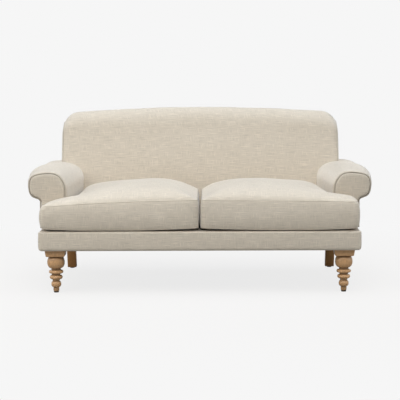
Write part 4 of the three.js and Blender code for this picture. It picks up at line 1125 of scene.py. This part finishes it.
class CushionPlan:
    """The pattern of the right cushion: it runs to the arm's pad, and an ear passes in front of the arm.
    ear_share is the part of the crown left at the ear, and the runs are how far from the outer edge and
    the arm it is full."""
    # The front's curve in plan and how far back it reaches, the rise of the seam over its own line,
    # the run behind the ear, and the run over which the crown falls to the ear
    FRONT_BOW = 5 * MM
    BOW_REACH = 250 * MM
    SEAM_RISE = 3 * MM
    EAR_RUN = 24 * MM
    EAR_FALL = 514 * MM
    # How sharply the runs of the crown meet
    BLEND = 6

    def __init__(self, inset, settings, droop, ear_share, outer_run, side_run):
        self.settings = settings
        self.inset = inset
        self.inner = 3 * MM + inset
        self.side = CUSHION_SIDE_X - inset
        self.outer = HALF_SEAT - EAR_BULGE - inset
        self.front = FRONT_Y + inset
        self.ear = CUSHION_EAR_Y - inset
        self.back = CUSHION_BACK_Y - inset
        self.corner = CUSHION_CORNER - inset / 2
        self.droop = droop
        self.ear_share = ear_share
        self.outer_run = outer_run
        self.side_run = side_run
        self.low = DECK_TOP + FIT + inset

    def lines(self, step):
        """Grid lines across and along the cushion, on all the edges of the pattern"""
        def through(*stops):
            line = [stops[0]]
            for a, b in zip(stops[:-1], stops[1:]):
                count = max(2, round((b - a) / step))
                line += [a + (b - a) * k / count for k in range(1, count + 1)]
            return np.array(line)
        xs = through(self.inner, self.inner + self.corner, self.side - self.corner, self.side,
                     self.outer - self.corner, self.outer)
        ys = through(self.front, self.front + self.corner, self.ear - self.corner, self.ear,
                     self.back - self.corner, self.back)
        return xs, ys

    def place(self, x, y):
        """A grid point in plan, with round corners, the side tapered along the arm and the front drawn in"""
        corners = ((self.inner, self.front, 1, 1), (self.outer, self.front, -1, 1),
                   (self.outer, self.ear, -1, -1), (self.side, self.back, -1, -1),
                   (self.inner, self.back, 1, -1))
        px, py = x, y
        for cx, cy, sx, sy in corners:
            s = 1 - (x - cx) * sx / self.corner
            t = 1 - (y - cy) * sy / self.corner
            if 0 < s <= 1.001 and 0 < t <= 1.001:
                px = cx + sx * self.corner * (1 - s * math.sqrt(1 - t * t / 2))
                py = cy + sy * self.corner * (1 - t * math.sqrt(1 - s * s / 2))
        past = limited((y - self.ear) / (self.back - self.ear))
        across = limited((x - self.inner) / (self.outer - self.inner))
        taper = ARM_TAPER * past * (x - self.inner) / (self.side - self.inner)
        near = limited(1 - (y - self.front) / self.BOW_REACH)
        return px - taper, py + self.FRONT_BOW * math.sin(math.pi * across) * near

    def seam(self, x, y):
        """Height of the top seam, which falls towards the ear"""
        near = limited((self.back - y) / (self.back - self.ear))
        return SEAM_Z + self.SEAM_RISE - self.inset - self.droop * (x / self.outer) ** 2 * near

    def crown(self, x, y):
        """Rise of the top over its seam: a dome that falls away to the ear and that every edge holds down"""
        def rounded(share, power=0.5):
            return (1 - (1 - limited(share, 0.0001)) ** 2) ** power

        beside, behind = (self.side - x) / self.side_run, (self.ear - y) / self.EAR_RUN
        notch = beside if y > self.ear else behind if x > self.side else math.hypot(beside, behind)
        run = self.settings.crown_run
        spans = (rounded((x - self.inner) / self.settings.inner_run, 1.1), rounded((y - self.front) / run),
                 rounded((self.back - y) / run), rounded((self.outer - x) / self.outer_run), rounded(notch))
        held = 1 + sum(span ** -self.BLEND - 1 for span in spans)
        fall = rounded((self.outer - 5 * MM - x) / self.EAR_FALL, 0.8)
        high = self.settings.crown - self.inset * 0.3
        return high * (self.ear_share + (1 - self.ear_share) * fall) * held ** (-1 / self.BLEND)

    def sole(self, x, y):
        """Height of the bottom, which turns up at its edge and more at both ends of the front"""
        edge_lift, inner_lift, outer_lift = 4 * MM, 12 * MM, 9 * MM
        inner_reach, outer_reach, rear_reach = 300 * MM, 200 * MM, 70 * MM
        edge = min(x - self.inner, y - self.front, self.back - y, self.outer - x)
        foot = edge_lift * max(0, 1 - max(edge, 0) / self.corner)
        ends = (inner_lift * max(0, 1 - x / inner_reach) ** 1.5
                + outer_lift * max(0, 1 - (self.outer - x) / outer_reach) ** 1.5)
        return self.low + foot + ends * max(0, 1 - (y - self.front) / rear_reach)

    def mesh(self, name, step):
        """A closed grid: the top, the bottom, and a boxing strip that swells between the seams"""
        xs, ys = self.lines(step)
        cells = [((i, j), (i + 1, j), (i + 1, j + 1), (i, j + 1))
                 for i in range(len(xs) - 1) for j in range(len(ys) - 1)
                 if xs[i + 1] <= self.side + TINY or ys[j + 1] <= self.ear + TINY]
        plan = {}
        for cell in cells:
            for i, j in cell:
                if (i, j) not in plan:
                    plan[i, j] = self.place(xs[i], ys[j])
        vertices = [(px, py, self.seam(xs[i], ys[j]) + self.crown(xs[i], ys[j]))
                    for (i, j), (px, py) in plan.items()]
        vertices += [(px, py, self.sole(xs[i], ys[j])) for (i, j), (px, py) in plan.items()]
        top = {key: index for index, key in enumerate(plan)}
        bottom = {key: index + len(plan) for key, index in top.items()}
        faces = []
        rim = {}
        for cell in cells:
            faces.append(tuple(top[key] for key in cell))
            faces.append(tuple(bottom[key] for key in reversed(cell)))
            for a, b in zip(cell, cell[1:] + cell[:1]):
                if (b, a) in rim:
                    del rim[b, a]
                else:
                    rim[a, b] = True
        flat_faces = len(faces)
        after = {a: b for a, b in rim}
        loop = [next(iter(after))]
        while after[loop[-1]] != loop[0]:
            loop.append(after[loop[-1]])
        rows = 16
        columns = []
        for k, key in enumerate(loop):
            before, following = plan[loop[k - 1]], plan[loop[(k + 1) % len(loop)]]
            dx, dy = following[0] - before[0], following[1] - before[1]
            length = math.hypot(dx, dy)
            nx, ny = dy / length, -dx / length
            x, y = plan[key]
            sideways = max(0, nx) if xs[key[0]] > self.side + TINY else 0
            most = self.settings.side_bulge
            most += ((self.settings.front_bulge - most) * max(0, -ny)
                     + (EAR_BULGE - self.settings.side_bulge) * sideways)
            low, high = vertices[bottom[key]][2], vertices[top[key]][2]
            column = [bottom[key]]
            for row in range(1, rows):
                rise = row / rows
                out = most * math.sin(math.pi * rise) ** 0.5
                column.append(len(vertices))
                vertices.append((x + nx * out, y + ny * out, low + (high - low) * rise))
            columns.append(column + [top[key]])
        for a, b in zip(columns, columns[1:] + columns[:1]):
            for k in range(rows):
                faces.append((a[k], b[k], b[k + 1], a[k + 1]))
        piece = new_piece(name, vertices, faces)
        self.weave(piece, columns, flat_faces, rows)
        self.top_rim = [column[-1] for column in columns]
        self.bottom_rim = [column[0] for column in columns]
        return piece

    def weave(self, piece, columns, flat_faces, rows):
        """The weave's map: the panels lie flat, and the boxing is one strip round the cushion, apart"""
        apart = 2.0
        layer = piece.data.uv_layers.new(name="weave")
        points = coordinates(piece)
        middles = [points[column[rows // 2]] for column in columns]
        strip = [0.0]
        for here, following in zip(middles, middles[1:] + middles[:1]):
            strip.append(strip[-1] + float(np.linalg.norm(following - here)))
        for polygon in piece.data.polygons:
            if polygon.index < flat_faces:
                for index in polygon.loop_indices:
                    x, y, _ = points[piece.data.loops[index].vertex_index]
                    layer.data[index].uv = (x, y)
                continue
            column, row = divmod(polygon.index - flat_faces, rows)
            spots = ((column, row), (column + 1, row), (column + 1, row + 1), (column, row + 1))
            for index, (c, r) in zip(polygon.loop_indices, spots):
                height = points[columns[c % len(columns)][r]][2]
                layer.data[index].uv = (apart + strip[c], height)


def inflate(piece, limit, low):
    """Cloth over stuffing: the cover swells under pressure, is held at its foot, and may move as far as
    limit. Gives where its points were and how far they moved."""
    frames = 20
    free_move = 25 * MM
    held_height = 10 * MM
    start = coordinates(piece)
    held = piece.vertex_groups.new(name="held")
    for index, point in enumerate(start):
        if point[2] < low + held_height:
            held.add([index], 1.0, "REPLACE")
    modifier = piece.modifiers.new("cloth", "CLOTH")
    cloth = modifier.settings
    cloth.quality = 5
    cloth.mass = 0.3
    cloth.tension_stiffness = 20
    cloth.compression_stiffness = 20
    cloth.shear_stiffness = 8
    cloth.bending_stiffness = 0.6
    cloth.use_pressure = True
    cloth.uniform_pressure_force = 4
    cloth.vertex_group_mass = "held"
    cloth.effector_weights.gravity = 0
    modifier.collision_settings.use_collision = False
    scene = bpy.context.scene
    for step in range(1, frames + 1):
        scene.frame_set(step)
    shown = piece.evaluated_get(bpy.context.evaluated_depsgraph_get())
    flat = np.empty(len(shown.data.vertices) * 3)
    shown.data.vertices.foreach_get("co", flat)
    moved = flat.reshape(-1, 3) - start
    piece.modifiers.remove(modifier)
    piece.vertex_groups.clear()
    scene.frame_set(1)
    length = np.maximum(np.linalg.norm(moved, axis=1, keepdims=True), 1e-9)
    return start, moved / length * limit * (1 - np.exp(-length / free_move))


def seat_cushion(side):
    """A linen cover over foam, sewn from a top, a bottom and a boxing strip"""
    seam_gap = 1.2 * MM
    hand = "right" if side > 0 else "left"
    # A pattern that is to be inflated is cut smaller, by what the swelling brings back
    inset = 1.0 * MM
    pattern = cushion_pattern(hand, 3.5 * MM)
    pattern.low = DECK_TOP + FIT + inset
    piece = pattern.mesh(f"{hand}_seat_cushion", 8 * MM)
    start, moved = inflate(piece, pattern.settings.swelling, pattern.low)
    points = start + moved
    points[:, 0] = np.clip(points[:, 0], seam_gap, None)
    points[:, 2] = np.maximum(points[:, 2], DECK_TOP + FIT)
    set_coordinates(piece, points)
    points = coordinates(piece)
    slow = rumpled(points, normals(piece), 3.0 * MM, 120 * MM, seed=2.0 + side)
    calm_height, rise = 30 * MM, 60 * MM
    high = np.clip((points[:, 2] - DECK_TOP - calm_height) / rise, 0, 1)[:, None]
    set_coordinates(piece, points + (slow - points) * high)
    seams = [[Vector(point) for point in coordinates(piece)[rim]]
             for rim in (pattern.top_rim, pattern.bottom_rim)]
    apply_modifier(piece, "SUBSURF", levels=1, render_levels=1)
    flip = Matrix.Scale(side, 4, (1, 0, 0))
    reshape(piece, flip)
    activate(piece)
    bpy.ops.object.shade_smooth()
    cords = []
    for edge, route in zip(("top", "bottom"), seams):
        lift = seam_gap if edge == "bottom" else 0
        laid = [flip @ point + Vector((0, 0, lift)) for point in route]
        cords.append(cord_piece(f"{hand}_cushion_{edge}_seam", laid, 1.5 * MM, closed=True))
    return piece, cords


def cushion_pattern(hand, inset):
    settings = bpy.context.scene.sofa.cushion
    if hand == "right":
        return CushionPlan(inset, settings, settings.right_droop, 0.32, 70 * MM, 45 * MM)
    return CushionPlan(inset, settings, settings.left_droop, 0.26, 180 * MM, 240 * MM)


# Legs


def bead(height, width, thickness, lower, upper, steps=14):
    """A turned swelling between two root radii, as (radius, height)"""
    points = []
    for k in range(steps + 1):
        angle = math.pi * (k / steps - 0.5)
        root = lower if k * 2 < steps else upper
        points.append((root + (width / 2 - root) * math.cos(angle), height + thickness / 2 * math.sin(angle)))
    return points


def turning():
    """Radius and height of the turned part of a front leg, from its foot up, in metres"""
    sizes = [(0, 5.3), (10, 5.3), (12, 6), (13.6, 8), (14, 11)]
    sizes += bead(40, 48, 28, 14, 17.5)
    sizes += bead(74, 62, 21, 17.5, 20.5)
    sizes += bead(100, 70, 18, 20.5, 22.5)
    sizes += bead(145, 84, 56, 22.5, 30)
    sizes += [(30, 174.5)]
    merged = [sizes[0]]
    for radius, height in sizes[1:]:
        if math.hypot(radius - merged[-1][0], height - merged[-1][1]) > 0.4:
            merged.append((radius, height))
    return [(radius * MM, height * MM) for radius, height in merged[1:]]


def front_leg():
    """A turned oak leg under a square block with round shoulders"""
    profile = turning()
    deselect()
    radius, height = profile[0]
    bpy.ops.mesh.primitive_circle_add(vertices=56, radius=radius, fill_type="NGON",
                                      location=(LEG_X, LEG_Y, height))
    leg = bpy.context.active_object
    leg.name = "right_front_leg_turning"
    bpy.ops.object.mode_set(mode="EDIT")
    bpy.ops.mesh.select_all(action="SELECT")
    for wider, higher in profile[1:]:
        bpy.ops.mesh.extrude_region_move(TRANSFORM_OT_translate={"value": (0, 0, higher - height)})
        scale = wider / radius
        bpy.ops.transform.resize(value=(scale, scale, 1), center_override=(LEG_X, LEG_Y, higher))
        radius, height = wider, higher
    finish_modelling()
    face_out(leg)

    block_foot = 181 * MM
    width, top_width = 90, 98
    deselect()
    bpy.ops.mesh.primitive_cube_add(size=1, location=(LEG_X, LEG_Y, (block_foot + LEG_TOP) / 2))
    block = bpy.context.active_object
    block.scale = (width * MM, width * MM, LEG_TOP - block_foot)
    bpy.ops.object.transform_apply(location=True, rotation=True, scale=True)
    bpy.ops.object.mode_set(mode="EDIT")
    select_faces(block, lambda face: face.normal.z > 0.9)
    bpy.ops.transform.resize(value=(top_width / width, top_width / width, 1),
                             center_override=(LEG_X, LEG_Y, LEG_TOP))
    # The shoulders, by how much narrower each step is and how far down in mm
    for scale, drop in ((0.985, 2.6), (0.955, 2.4), (0.9, 1.9), (0.82, 0.9)):
        select_faces(block, lambda face: face.normal.z < -0.9)
        bpy.ops.mesh.extrude_region_move(TRANSFORM_OT_translate={"value": (0, 0, -drop * MM)})
        bpy.ops.transform.resize(value=(scale, scale, 1), center_override=(LEG_X, LEG_Y, 0))
    bpy.ops.object.mode_set(mode="OBJECT")
    ease_arrises(block, 2.5 * MM)
    apply_modifier(leg, "BOOLEAN", operation="UNION", object=block, solver="EXACT")
    bpy.data.objects.remove(block)
    smooth(leg, math.radians(35))
    return leg


def finish_modelling():
    """Back from edit mode, with the place and size of the piece in its mesh"""
    bpy.ops.object.mode_set(mode="OBJECT")
    bpy.ops.object.transform_apply(location=True, rotation=True, scale=True)


def ease_arrises(piece, width):
    apply_modifier(piece, "BEVEL", width=width, segments=3, limit_method="ANGLE",
                   angle_limit=math.radians(40))


def select_faces(piece, wanted):
    """Faces that meet the test, and no others, selected in edit mode"""
    shape = bmesh.from_edit_mesh(piece.data)
    shape.select_mode = {"FACE"}
    for face in shape.faces:
        face.select_set(bool(wanted(face)))
    shape.select_flush_mode()
    bmesh.update_edit_mesh(piece.data)


def rear_leg():
    """A sawn square leg that bends gently to the rear, with its arrises eased"""
    low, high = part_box("rear_right_leg")
    width = high.x - low.x
    rake = high.y - low.y - width
    steps = 14
    centres = []
    for k in range(steps + 1):
        t = k / steps
        y = low.y + width / 2 + rake * (2 * (1 - t) * t * 0.3 + t * t)
        z = (1 - t) ** 2 * high.z + 2 * (1 - t) * t * high.z / 2 + t * t * low.z
        centres.append((y, z))
    deselect()
    bpy.ops.mesh.primitive_plane_add(size=width, location=((low.x + high.x) / 2, *centres[0]))
    leg = bpy.context.active_object
    leg.name = "right_rear_leg"
    bpy.ops.object.mode_set(mode="EDIT")
    bpy.ops.mesh.select_all(action="SELECT")
    for (y, z), (next_y, next_z) in zip(centres[:-1], centres[1:]):
        bpy.ops.mesh.extrude_region_move(TRANSFORM_OT_translate={"value": (0, next_y - y, next_z - z)})
    finish_modelling()
    face_out(leg)
    ease_arrises(leg, 2.0 * MM)
    smooth(leg, math.radians(35))
    return leg


# Operators


class SofaOperator:
    bl_options = {"REGISTER", "UNDO"}


class SOFA_OT_studio(SofaOperator, bpy.types.Operator):
    """Add the camera, the soft lights, the floor and the backdrop"""
    bl_idname = "sofa.studio"
    bl_label = "Studio"

    def execute(self, context):
        studio = context.scene.sofa.studio
        context.scene.view_settings.view_transform = "Standard"
        spot = (studio.offset, LEG_Y - studio.distance, studio.height)
        bpy.ops.object.camera_add(location=spot)
        camera = context.active_object
        camera.name = "photo_camera"
        # Turned a little to the left, tilted down and rolled, in degrees
        turn, tilt, roll = (Matrix.Rotation(math.radians(angle), 4, axis)
                            for angle, axis in ((0.337, "Z"), (90 - 5.737, "X"), (-0.243, "Z")))
        camera.matrix_world = Matrix.Translation(spot) @ (turn @ tilt) @ roll
        camera.data.lens = studio.lens
        camera.data.sensor_width = 36
        camera.data.clip_end = 100
        context.scene.camera = camera
        # Name, strength, breadth in degrees, tilts about X and Y in degrees, and colour
        for name, strength, angle, forward, sideways, colour in (
                ("overhead_light", studio.overhead, 70, 0, 0, (0.81, 0.895, 1.0)),
                ("front_light", studio.front, 40, 35, 0, (1.0, 0.99, 0.95)),
                ("rear_light", studio.rear, 20, -76, 0, (1.0, 0.99, 0.97)),
                ("left_light", studio.sides, 40, 12, -65, (1.0, 0.97, 0.9)),
                ("right_light", studio.sides, 40, 12, 65, (1.0, 0.97, 0.9))):
            bpy.ops.object.light_add(type="SUN", location=(0, 0, 4))
            lamp = context.active_object
            lamp.name = name
            lamp.data.energy = strength
            lamp.data.angle = math.radians(angle)
            lamp.data.color = colour
            lamp.rotation_euler = (math.radians(forward), math.radians(sideways), 0)
        place = Vector((-2.6, -3.0, 2.6))
        bpy.ops.object.light_add(type="AREA", location=place)
        lamp = context.active_object
        lamp.name = "near_light"
        lamp.data.energy = studio.near
        lamp.data.size = 1.2
        lamp.data.color = (1.0, 0.96, 0.9)
        lamp.rotation_euler = (Vector((0, 0, 0.4)) - place).to_track_quat("-Z", "Y").to_euler()
        backdrop = opaque(studio.backdrop)
        self.world(context, studio, backdrop)
        self.floor(context, backdrop)
        return {"FINISHED"}

    def world(self, context, studio, backdrop):
        world = bpy.data.worlds.new("studio_world")
        context.scene.world = world
        world.use_nodes = True
        tree = world.node_tree
        tree.nodes.clear()
        path = add_node(tree, "ShaderNodeLightPath")
        seen = path.outputs["Is Camera Ray"]
        for ray in ("Is Glossy Ray", "Is Transmission Ray"):
            seen = add_node(tree, "ShaderNodeMath", {0: seen, 1: path.outputs[ray]},
                            operation="MAXIMUM").outputs[0]
        ambient, plain = (add_node(tree, "ShaderNodeBackground", {
            "Color": colour, "Strength": strength}).outputs[0]
            for colour, strength in (((1.0, 0.985, 0.96, 1), studio.ambient), (backdrop, 1.0)))
        mix = add_node(tree, "ShaderNodeMixShader", {0: seen, 1: ambient, 2: plain})
        add_node(tree, "ShaderNodeOutputWorld", {"Surface": mix.outputs[0]})

    def floor(self, context, backdrop):
        """A nearly shadowless ground: an eighth of what it shows near the sofa is left to the lamps, and
        further off it has the backdrop's plain colour"""
        plain_share = 0.87
        deselect()
        bpy.ops.mesh.primitive_plane_add(size=60)
        floor = context.active_object
        floor.name = "studio_floor"
        material, tree = new_material("studio_floor")
        lit, bounce = (add_node(tree, "ShaderNodeBsdfDiffuse", {"Color": colour})
                       for colour in ((0.76, 0.71, 0.67, 1), (0.35, 0.345, 0.33, 1)))
        plain = add_node(tree, "ShaderNodeEmission", {"Color": backdrop})
        place = add_node(tree, "ShaderNodeTexCoord").outputs["Object"]
        far = add_node(tree, "ShaderNodeVectorMath", {0: place}, operation="LENGTH").outputs["Value"]
        fade = add_node(tree, "ShaderNodeMapRange", {"Value": far, "From Min": 1.2, "From Max": 2.6},
                        interpolation_type="SMOOTHSTEP").outputs["Result"]
        soft = add_node(tree, "ShaderNodeMixShader", {0: plain_share, 1: lit.outputs[0], 2: plain.outputs[0]})
        near = add_node(tree, "ShaderNodeMixShader", {0: fade, 1: soft.outputs[0], 2: plain.outputs[0]})
        path = add_node(tree, "ShaderNodeLightPath")
        shown = add_node(tree, "ShaderNodeMixShader", {
            0: path.outputs["Is Camera Ray"], 1: bounce.outputs[0], 2: near.outputs[0]})
        add_node(tree, "ShaderNodeOutputMaterial", {"Surface": shown.outputs[0]})
        floor.data.materials.append(material)


class SOFA_OT_wooden_frame(SofaOperator, bpy.types.Operator):
    """Finish the hardwood frame that the upholstery hides"""
    bl_idname = "sofa.wooden_frame"
    bl_label = "Hardwood frame"

    def execute(self, context):
        refinish("", ("_rail", "_block", "_post"), "planed_beech")
        return {"FINISHED"}


class SOFA_OT_suspension(SofaOperator, bpy.types.Operator):
    """Finish the seat springs and the straps of the back"""
    bl_idname = "sofa.suspension"
    bl_label = "Springs and webbing"

    def execute(self, context):
        refinish("seat_spring", "", "spring_steel")
        refinish("back_strap", "", "jute_webbing")
        return {"FINISHED"}


class SOFA_OT_front_legs(SofaOperator, bpy.types.Operator):
    """Add the two turned front legs"""
    bl_idname = "sofa.front_legs"
    bl_label = "Turned front legs"

    def execute(self, context):
        right = front_leg()
        left = twin_of(right, "left_front_leg_turning", Matrix.Translation((-2 * LEG_X, 0, 0)))
        dress(right, "turned_oak", "frame", ["front_right_leg"])
        dress(left, "turned_oak", "frame", ["front_left_leg"])
        return {"FINISHED"}


class SOFA_OT_rear_legs(SofaOperator, bpy.types.Operator):
    """Add the two raked rear legs"""
    bl_idname = "sofa.rear_legs"
    bl_label = "Rear legs"

    def execute(self, context):
        right = rear_leg()
        left = twin_of(right, "left_rear_leg")
        dress(right, "sawn_oak", "frame", ["rear_right_leg"])
        dress(left, "sawn_oak", "frame", ["rear_left_leg"])
        return {"FINISHED"}


class SOFA_OT_leg_hardware(SofaOperator, bpy.types.Operator):
    """Finish the bolts that hold the legs, and the glides under them"""
    bl_idname = "sofa.leg_hardware"
    bl_label = "Bolts and glides"

    def execute(self, context):
        refinish("", "_leg_bolt", "zinc_plated_steel")
        refinish("", "_glide", "moulded_nylon")
        return {"FINISHED"}


class SOFA_OT_base(SofaOperator, bpy.types.Operator):
    """Add the front band, the side panels, the seat platform and the dust cloth"""
    bl_idname = "sofa.base"
    bl_label = "Base upholstery"

    def execute(self, context):
        dress(front_band(), "slub_linen", "frame", ["front_border"])
        right = side_panel()
        left = twin_of(right, "left_side_panel")
        dress(right, "slub_linen", "frame", ["right_outside_arm"])
        dress(left, "slub_linen", "frame", ["left_outside_arm"])
        dress(seat_platform(), "slub_linen", "frame", ["seat_deck"])
        cloth, area = dust_cloth()
        dress(cloth, "black_cambric", "frame", ["dust_cover"])
        return {"FINISHED"}


class SOFA_OT_arms(SofaOperator, bpy.types.Operator):
    """Add the padded arm rolls with their facings and welts"""
    bl_idname = "sofa.arms"
    bl_label = "Rolled arms"

    def execute(self, context):
        # The facing welts are in darker linen, painted shade in the corner between the facing and the roll
        for make, twin, node, material, slot, fill in (
                (arm_pad, "left_arm_roll", "arm_pad", "slub_linen", "linen", 0.9),
                (facing_panel, "left_arm_front", "arm_facing", "slub_linen", "linen", 1.0),
                (facing_cord, "left_arm_welt", "facing_piping", "welt_linen_painted_shade", "linen_welt", None)):
            right = make()
            left = twin_of(right, twin)
            dress(right, material, "frame", [f"right_{node}"])
            dress(left, material, "frame", [f"left_{node}"])
        return {"FINISHED"}


class SOFA_OT_back(SofaOperator, bpy.types.Operator):
    """Add the tight back with its end seams, and the rear panel"""
    bl_idname = "sofa.back"
    bl_label = "Tight back"

    def execute(self, context):
        dress(inside_back(), "slub_linen", "frame", ["inside_back"])
        dress(outside_back(), "slub_linen", "frame", ["outside_back"])
        for side in (1, -1):
            # The end welts are in darker linen, painted shade along the back's shaded ends
            dress(back_welt(side), "welt_linen_painted_shade", "frame")
        return {"FINISHED"}


class SOFA_OT_cushions(SofaOperator, bpy.types.Operator):
    """Add the two seat cushions with their seams"""
    bl_idname = "sofa.cushions"
    bl_label = "Seat cushions"

    def execute(self, context):
        for side, hand in ((1, "right"), (-1, "left")):
            body = f"{hand}_cushion"
            cushion, cords = seat_cushion(side)
            dress(cushion, "slub_linen", body, [f"{hand}_cushion_cover"])
            for cord in cords:
                dress(cord, "slub_linen", body)
        return {"FINISHED"}


class SOFA_OT_cushion_cores(SofaOperator, bpy.types.Operator):
    """Add the foam inside the cushions"""
    bl_idname = "sofa.cushion_cores"
    bl_label = "Foam cores"

    def execute(self, context):
        for hand in ("right", "left"):
            core = cushion_pattern(hand, 20 * MM).mesh(f"{hand}_foam_core", 20 * MM)
            if hand == "left":
                reshape(core, MIRROR)
            activate(core)
            bpy.ops.object.shade_smooth()
            dress(core, "cut_foam", f"{hand}_cushion", [f"{hand}_cushion_core"])
        return {"FINISHED"}


class SOFA_OT_zips(SofaOperator, bpy.types.Operator):
    """Finish the zips in the rear of the cushions"""
    bl_idname = "sofa.zips"
    bl_label = "Zips"

    def execute(self, context):
        refinish("", "_zip_tape", "zip_tape_cloth")
        refinish("", "_zip_slider", "plated_zip_metal")
        return {"FINISHED"}


class SOFA_PT_panel(bpy.types.Panel):
    """Sizes, colours and the steps of the sofa"""
    bl_idname = "SOFA_PT_panel"
    bl_label = "Sofa"
    bl_space_type = "VIEW_3D"
    bl_region_type = "UI"
    bl_category = "Sofa"

    def draw(self, context):
        layout = self.layout
        for name in ("linen", "cushion", "wood", "studio"):
            box = layout.box()
            group = getattr(context.scene.sofa, name)
            for key in group.__annotations__:
                box.prop(group, key)
        for step in STEPS:
            layout.operator(step.bl_idname)


STEPS = (
    SOFA_OT_studio, SOFA_OT_wooden_frame, SOFA_OT_suspension, SOFA_OT_front_legs, SOFA_OT_rear_legs,
    SOFA_OT_leg_hardware, SOFA_OT_base, SOFA_OT_arms, SOFA_OT_back, SOFA_OT_cushions,
    SOFA_OT_cushion_cores, SOFA_OT_zips,
)
CLASSES = (LinenSettings, CushionSettings, WoodSettings, StudioSettings, SofaSettings, *STEPS, SOFA_PT_panel)


def register():
    for made in CLASSES:
        bpy.utils.register_class(made)
    bpy.types.Scene.sofa = PointerProperty(type=SofaSettings)


def unregister():
    del bpy.types.Scene.sofa
    for made in reversed(CLASSES):
        bpy.utils.unregister_class(made)


def main():
    register()
    for step in STEPS:
        group, name = step.bl_idname.split(".")
        getattr(getattr(bpy.ops, group), name)()


if __name__ == "__main__":
    main()
